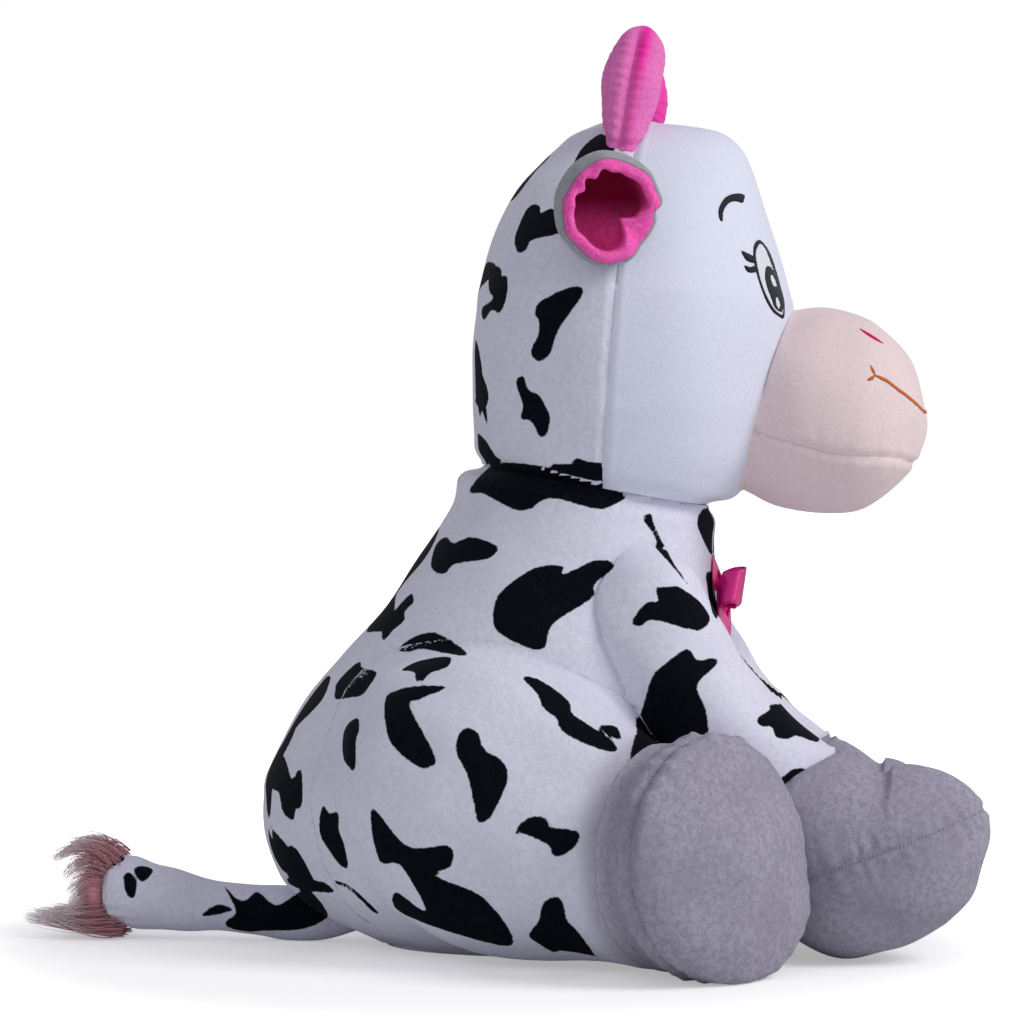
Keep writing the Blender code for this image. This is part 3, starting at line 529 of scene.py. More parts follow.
def pressOut(piece, other=None, gap=0.0, soft=0.0, deep=None, floor=True):
    # soft pieces give way where they meet a neighbour and where they rest on the floor; soft rounds the fold
    points = pointsOf(piece)
    if other is not None:
        reach = gap + 4 * soft
        tree = clothTree(other)
        low = pointsOf(other).min(axis=0) - reach
        high = pointsOf(other).max(axis=0) + reach
        for index in np.nonzero(((points > low) & (points < high)).all(axis=1))[0]:
            spot, normal, _, _ = tree.find_nearest(points[index])
            away = (Vector(points[index]) - spot)
            far = away.length if away.dot(normal) > 0 else -away.length
            if far >= reach or (deep and far < -deep):
                continue
            if soft:
                kept = gap + soft * math.log1p(math.exp(min(40.0, (far - gap) / soft)))
            else:
                kept = max(far, gap)
            if deep:
                share = max(0.0, min(1.0, 2 + 2 * far / deep))
                kept = far + (kept - far) * share * share * (3 - 2 * share)
            outward = normal if abs(far) < 1e-6 else away.normalized() * (1 if far > 0 else -1)
            points[index] = spot + outward * kept
    if floor:
        points[:, 2] = np.maximum(points[:, 2], 0.0)
    setPoints(piece, points)


def seamBend(line, axis, along, sign, count=400, window=61):
    # moves points so that a curved seam becomes the plane where one coordinate is zero
    places, values = (np.array(row) for row in line)
    fine = np.linspace(places[0], places[-1], count)
    weights = np.hanning(window)
    rough = np.interp(fine, places, values)
    padded = np.concatenate([np.full(window // 2, rough[0]), rough, np.full(window // 2, rough[-1])])
    smooth = np.convolve(padded, weights / weights.sum(), "valid")

    def bend(points, back=False):
        moved = np.array(points, float)
        steady = moved[:, along] * (1 if along == 2 else -1)
        shift = np.interp(steady, fine, smooth) * sign
        moved[:, axis] += shift if back else -shift
        return moved
    return bend


def slicePanel(name, source, cuts, material, bend=None):
    # one panel of a form: what lies behind every (spot, normal), with its cut faces closed
    mesh = source.data.copy()
    mesh.name = name
    shape = bmesh.new()
    shape.from_mesh(mesh)
    if bend:
        for vert, place in zip(shape.verts, bend([v.co for v in shape.verts])):
            vert.co = place
    for spot, normal in cuts:
        everything = shape.verts[:] + shape.edges[:] + shape.faces[:]
        bmesh.ops.bisect_plane(shape, geom=everything, plane_co=Vector(spot), plane_no=Vector(normal),
                               clear_outer=True)
        rim = [edge for edge in shape.edges if edge.is_boundary]
        made = bmesh.ops.holes_fill(shape, edges=rim, sides=0)["faces"]
        for face in made:
            face.smooth = False
        bmesh.ops.triangulate(shape, faces=made)
    if bend:
        for vert, place in zip(shape.verts, bend([v.co for v in shape.verts], True)):
            vert.co = place
    shape.to_mesh(mesh)
    shape.free()
    mesh.materials.clear()
    mesh.materials.append(material)
    return placeObject(name, mesh)


def drop(piece):
    bpy.data.objects.remove(piece)


def wear(piece, body, nodes, bend=None):
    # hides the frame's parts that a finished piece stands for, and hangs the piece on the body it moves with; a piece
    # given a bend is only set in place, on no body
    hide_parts(*nodes)
    if bend:
        tuple(bend[1])
        tuple(bend[2])
        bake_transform(piece)
    else:
        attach(piece, body)


def shapeFarArm(piece, root):
    # the far arm's upper side lies a little lower than the near one's, and its hoof is shorter
    far = arm["far"]
    points = pointsOf(piece)
    up = np.clip(normalsOf(piece)[:, 2] * far["steep"], 0, 1)
    reach = root[1] - points[:, 1]
    along = (np.clip((reach - far["start"]) / far["rise"], 0, 1)
             * np.clip((far["end"] - reach) / far["fall"], 0, 1))
    points[:, 2] -= far["drop"] * up * along
    tip = eased(reach, *far["tip"])
    points[:, 1] += far["back"] * tip
    points[:, 2] *= 1 - far["low"] * tip
    setPoints(piece, points)


# Forms of the cow. Rows are shares: forward, outward, up, and the two half widths of a ring.

torso = {
    "reach": (0.067, 0.0, 0.340), "girth": (0.268, 0.317), "set": -0.006, "spacing": 0.0030,
    "rows": ((0, 0, -.060, 0, 0), (.05, 0, -.045, .34, .36), (.20, 0, -.010, .42, .50), (.11, 0, .054, .71, .76),
             (.055, 0, .111, .88, .88), (.03, 0, .159, .94, .934), (.015, 0, .216, .985, .972),
             (.016, 0, .279, 1, .976), (.039, 0, .337, .985, .962), (.207, 0, .465, .925, .880),
             (.363, 0, .547, .868, .797), (.447, 0, .593, .835, .747), (.524, 0, .656, .785, .670),
             (.672, 0, .748, .72, .595), (.807, 0, .836, .665, .533), (.934, 0, .916, .61, .480),
             (1.05, 0, 1.0, 0, 0)),
    "neckSeam": {"depth": .0035, "width": .0050, "puff": .0010, "gathers": (24, 60), "gatherHeight": .0003,
                 "reach": .014, "seed": 5},
    "lumps": (.0010, .07, 3),  # height, size and seed
}
head = {
    "set": (0.0235, 0.0, -0.030), "reach": (0.016, 0.0, 0.267), "girth": (0.240, 0.202), "spacing": 0.0026,
    "rows": ((-1.2, 0, 0, 0, 0), (-1.09, 0, .06, .66, .668), (-.84, 0, .107, .74, .839), (-.53, 0, .166, .82, .916),
             (-.32, 0, .25, .895, .966), (-.19, 0, .319, .94, .996), (-.06, 0, .441, .985, 1.024),
             (.06, 0, .533, .995, 1.017), (.02, 0, .587, .985, .991), (.03, 0, .709, .885, .898),
             (.20, 0, .818, .74, .786), (.45, 0, .891, .58, .669), (.56, 0, .928, .475, .590),
             (.52, 0, .959, .35, .488), (.27, 0, .978, .25, .322), (0, 0, .988, .16, .20), (0, 0, 1, 0, 0)),
    "faceSeamForward": -.0035, "faceSeamUp": .122, "faceSeamTilt": 5.0,
    "neckSeam": {"depth": .0030, "width": .0050, "puff": .0006},
    "faceSeam": {"depth": .0016, "width": .0022, "puff": .0004, "gathers": (20, 70), "gatherHeight": .0003,
                 "reach": .010, "seed": 7},
    "lumps": (.0007, .08, 11), "cut": .0003,
}
muzzle = {
    "set": (.0460, 0.0, .0769), "reach": (.142, 0.0, -.008), "girth": (.131, .144), "spacing": .0022,
    "rows": ((0, 0, 0, 0, 0), (.07, 0, -.4, .60, .50), (.27, 0, -.5, .90, .75), (.40, 0, -.19, .97, .889),
             (.541, 0, -.10, 1, .905), (.7, 0, .15, .95, .86), (.8, 0, .35, .83, .775), (.88, 0, .5, .68, .645),
             (.94, 0, .75, .50, .465), (.98, 0, .95, .29, .275), (1, 0, 1, 0, 0)), "square": True,
    # the chin seam's height along the muzzle: places forward, then heights
    "chinLine": ((.100, .150, .1686, .1881, .2089, .2228, .2467, .2625, .270, .285),
                 (.350, .341, .3345, .3276, .3219, .3175, .3155, .3160, .3130, .3090)),
    "chinSeam": {"depth": .0014, "width": .0024, "puff": .0004, "gathers": (16, 48), "gatherHeight": .0005,
                 "reach": .009, "seed": 22},
    "chinMiddle": .07, "lumps": (.0008, .05, 21),
    "press": (.0012, .012),  # how softly it folds, and how deep
}
horn = {
    "set": (-0.0013, .0457, .2339), "reach": (.013, -.010, .087), "farReach": (.002, -.010, .085),
    "girth": (.038, .032), "spacing": .0012,
    "rows": ((0, -1.7, 0, 0, 0), (0, -1.4, .08, .44, .50), (.14, -.8, .34, .84, .86), (.38, -.1, .62, 1, 1),
             (.72, .55, .86, .78, .8), (.9, .85, .96, .45, .5), (1, 1, 1, 0, 0)),
    "seamForward": .0036, "seamUp": .0539, "tipFade": .022,
    "seam": {"depth": .0030, "width": .0030, "puff": .0004, "gathers": (38, 72), "gatherHeight": .0013,
             "reach": .008, "seed": 31},
    # painted shade: the deeper pink beside the seam, stronger above it, and how deep the far horn is all over
    "strip": {"place": .0048, "width": .0046, "low": .35, "over": .02, "far": .75},
    "lumps": (.0006, .03, 32), "press": (.0010, .010),
}
arm = {
    "reach": (.227, -.023, -.186), "girth": (.101, .126), "spacing": .0024,
    "rows": ((0, 0, 0, 0, 0), (.035, 0, .11, .6, .5), (.11, .2, .355, .84, .64), (.235, .7, .625, .88, .725),
             (.42, 1, .875, .88, .81), (.62, 1.05, 1.055, .97, .95), (.74, 1.03, 1.035, .95, .925),
             (.85, 1, .995, .86, .79), (.93, 1, .975, .64, .58), (.975, 1, .98, .40, .36), (1, 1, .985, 0, 0)),
    "calm": 2, "wristMiddle": .07, "wristBlend": .003,
    # the wrist seam's place forward at each height
    "wristLine": ((-.02, 0, .030, .060, .085, .1058, .118, .1275, .145),
                  (.136, .146, .158, .171, .1805, .1905, .1990, .2190, .260)),
    "hoofForward": .1653, "hoofUp": -.1840, "hoofTilt": -21.0, "stitches": 130, "stitchStart": -.004,
    "wristSeam": {"depth": .0020, "width": .0032, "puff": .0010, "gathers": (18, 40), "gatherHeight": .0005,
                  "reach": .010, "seed": 62},
    "hoofSeam": {"depth": .0014, "width": .0022, "puff": .0007, "gathers": (20, 60), "gatherHeight": .0010,
                 "reach": .011, "seed": 63},
    "lumps": (.0011, .05, 61), "pressTorso": (.0085, .024), "pressLeg": (.0020, .006),
    "far": {"wrist": .016, "steep": 1.4, "start": -.02, "rise": .05, "end": .135, "fall": .045, "drop": .010,
            "tip": (.13, .23), "back": .018, "low": .12},
}
leg = {
    "reach": (.258, .093, -.028), "girth": (.199, .140), "spacing": .0028,
    "rows": ((0, 0, 0, 0, 0), (.092, .09, -.1, .62, .66), (.268, .205, -.28, .91, .88), (.489, .25, .28, .905, .88),
             (.673, .34, .88, .73, .82), (.8, .52, 1.02, .7, .85), (.871, .69, 1, .742, 1),
             (.945, .865, 1, .68, .91), (1, 1, 1, 0, 0)),
    "soleForward": .2277, "soleOut": .0770, "soleTurn": 38.0, "soleMiddle": .07, "band": .040, "stitches": 150,
    "soleSeam": {"depth": .0030, "width": .0030, "puff": .0014, "gathers": (14, 44), "gatherHeight": .0016,
                 "reach": .016, "rimRadius": .075, "seed": 52},
    "ankleSeam": {"depth": .0012, "width": .0030},
    "sag": {"from": .120, "power": 1.3, "forward": .018, "start": .15, "end": .215},
    # grey mixed into the white above the ankle seam, and white into the grey below it
    "thighFade": (.75, -.016, .0), "bandFade": (.25, 0, .014),
    "lumps": (.0012, .06, 51), "press": .0030,
}
tail = {
    "reach": (-.124, 0.0, .003), "girth": (.044, .044), "spacing": .0014,
    "rows": ((-.46, 0, 0, 0, 0), (-.40, 0, 0, .5, .5), (-.2, 0, 0, .80, .80), (0, 0, 0, .80, .80),
             (.283, 0, .87, .72, .72), (.50, 0, 1.8, .86, .86), (.68, 0, 2.9, .975, .975),
             (.825, 0, 4.1, 1.03, 1.03), (.940, 0, 4.6, .82, .82), (.99, 0, 4.7, 0, 0)), "end": .1165,
    "endSeam": {"depth": .0020, "width": .0028, "gathers": (10, 26), "gatherHeight": .0012, "reach": .010,
                "seed": 72},
    "seamUp": .003, "lumps": (.0006, .03, 71), "press": (.0010, .008),
}
tuftCore = {
    "set": (-.0005, 0, .013), "reach": (-.020, 0, .000), "girth": (.034, .034), "spacing": .0014,
    "rows": ((0, 0, 0, 0, 0), (.05, 0, 0, .8, .9), (.4, 0, 0, 1, 1), (.8, 0, 0, .6, .6), (1, 0, 0, 0, 0)),
}


def drawForm(name, root, form, material, side=1, first=(0, 0, 1), level=False):
    forward, outward, up = form["reach"]
    centres = [root + heading(row[0] * forward, row[1] * outward, row[2] * up, side) for row in form["rows"]]
    firstHalf = [row[3] * form["girth"][0] / 2 for row in form["rows"]]
    otherHalf = [row[4] * form["girth"][1] / 2 for row in form["rows"]]
    points, faces = loftForm(centres, firstHalf, otherHalf, first, level, form["spacing"], form.get("square"),
                             form.get("calm", 0))
    return makePiece(name, points, faces, material)


def tilted(degrees, up=False):
    # the direction that a seam plane faces: forward and down a little, or up and forward a little
    lean = math.radians(degrees)
    if up:
        return heading(math.sin(lean), 0, math.cos(lean))
    return heading(math.cos(lean), 0, -math.sin(lean))


# Torso and its seat panel

torsoForm = drawForm("torsoForm", cowMiddle + heading(torso["set"], 0, 0), torso, cloth["body"], level=True)
points = pointsOf(torsoForm)
lift(torsoForm, lumps(torso, points) + seamHeights(points, neckPlace, neckNormal, torso["neckSeam"]))
pressOut(torsoForm)
seat = {"width": .120, "depth": .165, "ahead": .008, "recess": .0026, "gap": .0005, "columns": 96, "rings": 22,
        "fit": .985}
points = pointsOf(torsoForm)
beside = np.hypot(points[:, 0] / (seat["width"] / 2),
                  (points[:, 1] - seatMiddle[1] + seat["ahead"]) / (seat["depth"] / 2))
points[:, 2] = np.where(beside < 1, np.maximum(points[:, 2], seat["recess"]), points[:, 2])
setPoints(torsoForm, points)
torsoCover = slicePanel("torsoCover", torsoForm, [(neckPlace, neckNormal)], cloth["body"])

columns, rings, seatBack = seat["columns"], seat["rings"], seatMiddle[1] - seat["ahead"]
layers = ((0.0, range(1, rings + 1)), (seat["recess"] - seat["gap"], range(rings, 0, -1)))
rows = [(math.cos(turn) * seat["width"] / 2 * seat["fit"] * ring / rings,
         seatBack + math.sin(turn) * seat["depth"] / 2 * seat["fit"] * ring / rings, height)
        for height, layer in layers for ring in layer
        for turn in (2 * math.pi * column / columns for column in range(columns))]
rows += [(0, seatBack, height) for height, _ in layers]
seatPanel = makePiece("seatPanel", rows, closedRings(2 * rings, columns), cloth["body"])
print("torso is drawn")

# Head, muzzle and horns

headRoot = neckPlace + heading(*head["set"])
headForm = drawForm("headForm", headRoot, head, cloth["body"], level=True)
faceSpot = headRoot + heading(head["faceSeamForward"], 0, head["faceSeamUp"])
faceNormal = tilted(head["faceSeamTilt"])
points = pointsOf(headForm)
lift(headForm, lumps(head, points) + seamHeights(points, neckPlace, neckNormal, head["neckSeam"])
     + seamHeights(points, faceSpot, faceNormal, head["faceSeam"]))
neckCut = (neckPlace + neckNormal * head["cut"], -neckNormal)
headHood = slicePanel("headHood", headForm, [neckCut, (faceSpot, faceNormal)], cloth["body"])
faceCover = slicePanel("faceCover", headForm, [neckCut, (faceSpot, -faceNormal)], cloth["face"])

muzzleRoot = headRoot + heading(*muzzle["set"])
muzzleForm = drawForm("muzzleForm", muzzleRoot, muzzle, cloth["muzzle"])
chin = seamBend(muzzle["chinLine"], 2, 1, 1)
chinSpot = muzzleRoot * np.array([1, 1, 0]) + heading(muzzle["chinMiddle"], 0, 0)
upward = np.array([0, 0, 1.0])
points = pointsOf(muzzleForm)
lift(muzzleForm, lumps(muzzle, points) + seamHeights(chin(points), chinSpot, upward, muzzle["chinSeam"]))
pressOut(muzzleForm, headForm, clothGap, *muzzle["press"])
muzzleUpper = slicePanel("muzzleUpper", muzzleForm, [(chinSpot, -upward)], cloth["muzzle"], chin)
muzzleLower = slicePanel("muzzleLower", muzzleForm, [(chinSpot, upward)], cloth["muzzle"], chin)

hornPieces = []
for sideName, side in sides:
    hornRoot = headRoot + heading(*horn["set"], side)
    hornShape = dict(horn, reach=horn["reach"] if side > 0 else horn["farReach"])
    form = drawForm("hornForm", hornRoot, hornShape, cloth["horn"], side, first=(0, 1, 0))
    spot = headRoot + heading(horn["seamForward"], 0, horn["set"][2] + horn["seamUp"])
    normal = unit(heading(hornShape["reach"][2], 0, -hornShape["reach"][0]))
    points = pointsOf(form)
    tip = hornRoot + heading(*hornShape["reach"], side)
    fade = np.clip(np.linalg.norm(points - tip, axis=1) / horn["tipFade"], 0, 1) ** 2
    lift(form, seamHeights(points, spot, normal, horn["seam"], side) * fade + lumps(horn, points, side))
    pressOut(form, headForm, clothGap, *horn["press"])
    back = slicePanel("hornBack_" + sideName, form, [(spot, normal)], cloth["horn"])
    front = slicePanel("hornFront_" + sideName, form, [(spot, -normal)], cloth["horn"])
    points = pointsOf(front)
    # painted shade beside the seam on the front panel, stronger above the seam than below it
    strip = horn["strip"]
    rise = eased(points[:, 2], spot[2] - strip["over"], spot[2] + strip["over"])
    beside = np.exp(-(((points - spot) @ normal - strip["place"]) / strip["width"]) ** 2)
    beside *= strip["low"] + (1 - strip["low"]) * rise
    # the far horn gets painted shade all over, the near horn none
    least = 0.0 if side > 0 else strip["far"]
    keepAttribute(front, "fade", np.maximum(beside, least))
    keepAttribute(back, "fade", np.full(len(back.data.vertices), least))
    hornPieces.append((sideName, back, front))
    drop(form)
drop(muzzleForm)
print("head is drawn")

# Ears: an outer cup and a lining that is rolled over its rim

ear = {
    "axis": (.022, .086, -.014), "wall": .0020, "columns": 150, "steps": 54, "fine": 30,
    "ripples": {"seed": 41, "count": 6, "waves": (3, 11), "turn": 6.28},
    # the lining's hidden back: how far inside the cup, its pole, its lowest ring, and a pole's least radius
    "inside": .0004, "pole": .0135, "lowest": .0130, "least": .0008,
    "lobe": {"turn": -.62, "width": .46, "outer": .12, "inner": .56, "drop": .004},
    "notch": {"turn": -.03, "width": .13, "depth": .13},
    "scallops": {"count": 13, "turn": 2.3, "width": .75, "depth": .0019}, "waves": .0008, "sideWaves": .7,
    # where the rim's shape sets in up the cup, where the roll sets in inside it, and the cup's plain middle
    "rimFrom": .024, "rimRise": .028, "rollFrom": .0312, "rollWidth": .0055, "core": .02,
    "slump": .0026, "lead": .0012, "narrow": .95, "down": .0010, "liningGap": .0034,
    "outer": ((0, .0005), (.006, .000), (.011, .003), (.0195, .0095), (.0285, .022), (.0343, .036), (.0343, .046),
              (.0322, .0520)),
    "inner": ((.0312, .0530), (.0300, .0556), (.0276, .0572), (.0250, .0562), (.0240, .0505), (.0252, .0400),
              (.0225, .027), (.0135, .0185), (.0045, .0165), (0, .0163)),
    # the lining's painted shade, darkest deep in the cup and on its upper side: along the axis, up the cup, and the
    # least
    "shadeAlong": (.022, .049), "shadeUp": (-.020, .004), "shadeLeast": .10,
}


def alongProfile(profile, count):
    # evenly spaced smooth points through (radius, height) pairs
    profile = np.array(profile, float)
    fine = np.linspace(0, len(profile) - 1, ear["fine"] * len(profile))
    curve = alongRows(np.vstack([2 * profile[0] - profile[1], profile, 2 * profile[-1] - profile[-2]]), fine)
    walked = walkedAlong(curve)
    return pickedAt(np.linspace(0, walked[-1], count), walked, curve)


def offsetProfile(curve, away):
    ways = unit(np.gradient(curve, axis=0))
    moved = curve + np.stack([ways[:, 1], -ways[:, 0]], axis=1) * away
    moved[:, 0] = np.maximum(moved[:, 0], ear["least"])
    return moved


def turnedShell(name, curve, shape, material, inner):
    # a closed shell: the curve turned round the ear's axis from pole to pole
    columns = ear["columns"]
    points = [shape(radius, height, 2 * math.pi * column / columns, row >= inner)
              for row, (radius, height) in enumerate(curve[1:-1]) for column in range(columns)]
    points += [shape(0, curve[0][1], 0, False), shape(0, curve[-1][1], 0, True)]
    return makePiece(name, points, closedRings(len(curve) - 2, columns), material)


def bell(turn, shape):
    gap = (turn - shape["turn"] + math.pi) % (2 * math.pi) - math.pi
    return math.exp(-(gap / shape["width"]) ** 2)


earPieces = []
for sideName, side in sides:
    root = jointPlace["ear_flap_" + sideName]
    axis = unit(heading(*ear["axis"], side))
    ahead = -unit(np.cross(axis, [0, 0, 1.0]) * side)
    above = np.cross(axis, ahead)
    above = above if above[2] > 0 else -above
    ripples = ear["ripples"]
    rng = random.Random(ripples["seed"] + side)
    ripple = [(rng.randint(*ripples["waves"]), rng.uniform(0, ripples["turn"])) for _ in range(ripples["count"])]

    def earPoint(radius, height, turn, inner, root=root, axis=axis, ahead=ahead, above=above, ripple=ripple):
        # the rim is folded in at one place, gathered above and behind, and waves where it is rolled
        share = max(0.0, min(1.0, (height - ear["rimFrom"]) / ear["rimRise"]))
        rimmed = share * share * (3 - 2 * share)
        rolled = max(0.0, min(1.0, (ear["rollFrom"] - radius) / ear["rollWidth"])) if inner else 0.0
        outside = min(1.0, radius / ear["core"])
        lobe = bell(turn, ear["lobe"])
        pull = ear["lobe"]["outer"] * lobe + ear["notch"]["depth"] * bell(turn, ear["notch"])
        pull = (pull + ear["lobe"]["inner"] * lobe * rolled * outside) * rimmed
        wave = ear["waves"] * rimmed * sum(math.sin(n * turn + p) for n, p in ripple) / 2
        scallop = (ear["scallops"]["depth"] * rolled * rimmed * math.sin(ear["scallops"]["count"] * turn)
                   * bell(turn, ear["scallops"]))
        reach = (radius + wave * ear["sideWaves"] * outside - scallop) * (1 - pull)
        return (root + axis * (height + wave - ear["lobe"]["drop"] * lobe * rimmed)
                + ahead * (math.cos(turn) * reach * ear["narrow"] + ear["lead"] * rimmed)
                + above * (math.sin(turn) * reach - ear["slump"] * rimmed - ear["down"]))

    outward = alongProfile(ear["outer"], ear["steps"])
    backward = offsetProfile(outward, -ear["wall"])[::-1]
    backward[-1, 0] = 0
    shell = np.vstack([outward, backward])
    outer = turnedShell("earOuter_" + sideName, shell, earPoint, cloth["earGrey"], len(shell))
    inward = alongProfile(ear["inner"], ear["steps"])
    hidden = offsetProfile(outward, -ear["wall"] - ear["inside"])
    hidden = np.vstack([[0, ear["pole"]], hidden[hidden[:, 1] > ear["lowest"]]])
    lining = turnedShell("earLining_" + sideName, np.vstack([hidden, inward]), earPoint, cloth["lining"],
                         len(hidden) - 1)
    pressOut(outer, headForm, clothGap, floor=False)
    pressOut(lining, headForm, ear["liningGap"], floor=False)
    within = pointsOf(lining) - root
    # painted shade: dark deep in the cup and on its upper side, lighter on the lower wall
    keepAttribute(lining, "fade", (1 - eased(within @ axis, *ear["shadeAlong"]))
                  * (ear["shadeLeast"] + (1 - ear["shadeLeast"]) * eased(within @ above, *ear["shadeUp"])))
    earPieces.append((sideName, root, axis, outer, lining))
print("ears are drawn")

# Legs and arms

limbPieces = []
stitchLoops = {}
for sideName, side in sides:
    hip = jointPlace["leg_splay_" + sideName]
    legForm = drawForm("legForm", hip, leg, cloth["body"], side)
    points = pointsOf(legForm)
    sag = leg["sag"]
    sunk = np.clip(1 - points[:, 2] / sag["from"], 0, 1) ** sag["power"]
    points[:, 1] -= sag["forward"] * sunk * eased(hip[1] - points[:, 1], sag["start"], sag["end"])
    setPoints(legForm, points)
    turn = math.radians(leg["soleTurn"])
    soleWay = heading(math.cos(turn), math.sin(turn), 0, side)
    soleSpot = hip + heading(leg["soleForward"], leg["soleOut"], -hip[2], side)
    ankleSpot = soleSpot - soleWay * leg["band"]
    raised = heading(0, 0, leg["soleMiddle"])
    points = pointsOf(legForm)
    lift(legForm, lumps(leg, points, side)
         + seamHeights(points, soleSpot + raised, soleWay, leg["soleSeam"], side)
         + seamHeights(points, ankleSpot + raised, soleWay, leg["ankleSeam"], side))
    pressOut(legForm, torsoForm, clothGap, leg["press"])
    thigh = slicePanel("thigh_" + sideName, legForm, [(ankleSpot, soleWay)], cloth["body"])
    band = slicePanel("footBand_" + sideName, legForm, [(ankleSpot, -soleWay), (soleSpot, soleWay)],
                      cloth["hoof"])
    sole = slicePanel("sole_" + sideName, legForm, [(soleSpot, -soleWay)], cloth["hoof"])
    most, low, high = leg["thighFade"]
    keepAttribute(thigh, "fade", most * eased((pointsOf(thigh) - ankleSpot) @ soleWay, low, high))
    most, low, high = leg["bandFade"]
    keepAttribute(band, "fade", most * (1 - eased((pointsOf(band) - ankleSpot) @ soleWay, low, high)))
    stitchLoops["leg_" + sideName] = seamLoop(legForm, soleSpot + raised, soleWay, leg["stitches"])

    shoulder = jointPlace["arm_lift_" + sideName]
    armForm = drawForm("armForm", shoulder, arm, cloth["body"], side, first=(1, 0, 0))
    places, values = arm["wristLine"]
    wrist = seamBend((places, [value - (arm["far"]["wrist"] if side < 0 else 0) for value in values]), 1, 2, -1)
    hoofSpot = shoulder + heading(arm["hoofForward"], arm["reach"][1], arm["hoofUp"], side)
    hoofNormal = tilted(arm["hoofTilt"], True)
    points = pointsOf(armForm)
    bent = wrist(points)
    middle = np.array([shoulder[0], 0, arm["wristMiddle"]])
    onward = heading(1, 0, 0)
    ahead = 1 / (1 + np.exp(-(bent @ onward) / arm["wristBlend"]))
    lift(armForm, lumps(arm, points, side) + seamHeights(bent, middle, onward, arm["wristSeam"], side)
         + ahead * seamHeights(points, hoofSpot, hoofNormal, arm["hoofSeam"], side))
    if side < 0:
        shapeFarArm(armForm, shoulder)
    pressOut(armForm, torsoForm, clothGap, *arm["pressTorso"])
    pressOut(armForm, legForm, clothGap, *arm["pressLeg"])
    sleeve = slicePanel("sleeve_" + sideName, armForm, [(middle, onward)], cloth["body"], wrist)
    hoof = slicePanel("hoof_" + sideName, armForm, [(middle, -onward)], cloth["hoof"], wrist)
    hoofTop = slicePanel("hoofTop_" + sideName, hoof, [(hoofSpot, -hoofNormal)], cloth["hoof"])
    hoofBottom = slicePanel("hoofBottom_" + sideName, hoof, [(hoofSpot, hoofNormal)], cloth["hoof"])
    loop = seamLoop(armForm, hoofSpot, hoofNormal, arm["stitches"])
    onHoof = wrist(np.array([row[0] for row in loop]))[:, 1] < arm["stitchStart"]
    first = next((i for i in range(len(loop)) if onHoof[i] and not onHoof[i - 1]), 0)
    stitchLoops["arm_" + sideName] = [loop[(first + step) % len(loop)] for step in range(int(onHoof.sum()))]
    limbPieces.append((sideName, side, hip, shoulder, thigh, band, sole, sleeve, hoofTop, hoofBottom))
    for done in (hoof, legForm, armForm):
        drop(done)
print("limbs are drawn")

# Tail

tailRoot = jointPlace["tail_swing"]
tailForm = drawForm("tailForm", tailRoot, tail, cloth["body"], first=(1, 0, 0))
tailEnd = tailRoot + heading(-tail["end"], 0, 0)
points = pointsOf(tailForm)
lift(tailForm, lumps(tail, points)
     + seamHeights(points, tailEnd + heading(0, 0, tail["seamUp"]), heading(-1, 0, 0), tail["endSeam"]))
pressOut(tailForm, torsoForm, clothGap, *tail["press"])
tailCover = slicePanel("tailCover", tailForm, [(tailEnd, heading(-1, 0, 0))], cloth["body"])
tailTuft = drawForm("tailTuft", tailEnd + heading(*tuftCore["set"]), tuftCore, cloth["tuftRoot"], first=(1, 0, 0))
pressOut(tailTuft)
drop(tailForm)
print("tail is drawn")

# Bow of satin ribbon

bow = {
    "width": .025, "thickness": .0008, "up": .2268, "proud": .0012, "gap": .0004, "columns": 11,
    "knot": (.010, .009, .024), "roughness": .27, "specular": .5, "anisotropic": .6, "weave": 900,
    "distortion": .6, "threads": (.2, .8), "deep": (.66, .001, .175), "light": (.80, .006, .285),
    "loop": {"steps": 64, "sunk": .0008, "length": .023, "depth": .0130, "forward": .0088, "rise": .0070,
             "peak": .8, "narrow": .50, "widen": .46, "by": 2.0, "power": .7, "tilt": .02, "lean": .17,
             "cup": .42},
    "tail": {"steps": 48, "length": .038, "top": .026, "spread": .010, "root": .003, "sunk": .0004,
             "back": .0075, "power": .6, "over": .0026, "reach": .022, "wave": .0012, "waves": 9,
             "narrow": .10, "widen": 34, "most": .75, "way": (-.42, 1, .22), "gap": .0006},
}
satin, tree, shader, where = startCloth("ribbonSatin", bow["roughness"], bow["specular"])
shader.inputs["Anisotropic"].default_value = bow["anisotropic"]
weave = addNode(tree, "TexWave", wave_type="BANDS", bands_direction="Z", Scale=bow["weave"],
                Distortion=bow["distortion"], Vector=where)
feed(tree, shader.inputs["Base Color"],
     mixColours(tree, rampOf(tree, weave.outputs["Fac"], *bow["threads"]), bow["deep"], bow["light"]))
torsoTree = BVHTree.FromObject(torsoForm, bpy.context.evaluated_depsgraph_get())
chest = np.array(torsoTree.ray_cast(Vector((0, -.5, bow["up"])), Vector((0, 1, 0)))[0])
bowSpot = chest + heading(bow["knot"][1] / 2 + bow["proud"], 0, 0)


def ribbonStrip(name, path, half, ways, closed):
    # a strip with thickness along a path; half is the half width and ways its direction at each point
    path = np.array(path, float)
    half = np.array(half, float)[:, None] * np.array(ways, float)
    along = np.gradient(path, axis=0) if not closed else (np.roll(path, -1, 0) - np.roll(path, 1, 0)) / 2
    face = unit(np.cross(along, ways)) * bow["thickness"] / 2
    shares = np.linspace(-1, 1, bow["columns"])
    points = [spot + reach * share + out * sign for spot, reach, out in zip(path, half, face)
              for sign, row in ((1, shares), (-1, shares[::-1])) for share in row]
    around = 2 * len(shares)
    faces = ringFaces(len(path), around, closed)
    for start in () if closed else (0, (len(path) - 1) * around):
        for column in range(len(shares) - 1):
            quad = (start + column + 1, start + column, start + around - 1 - column, start + around - 2 - column)
            faces.append(quad[::-1] if start else quad)
    return makePiece(name, points, faces, satin)


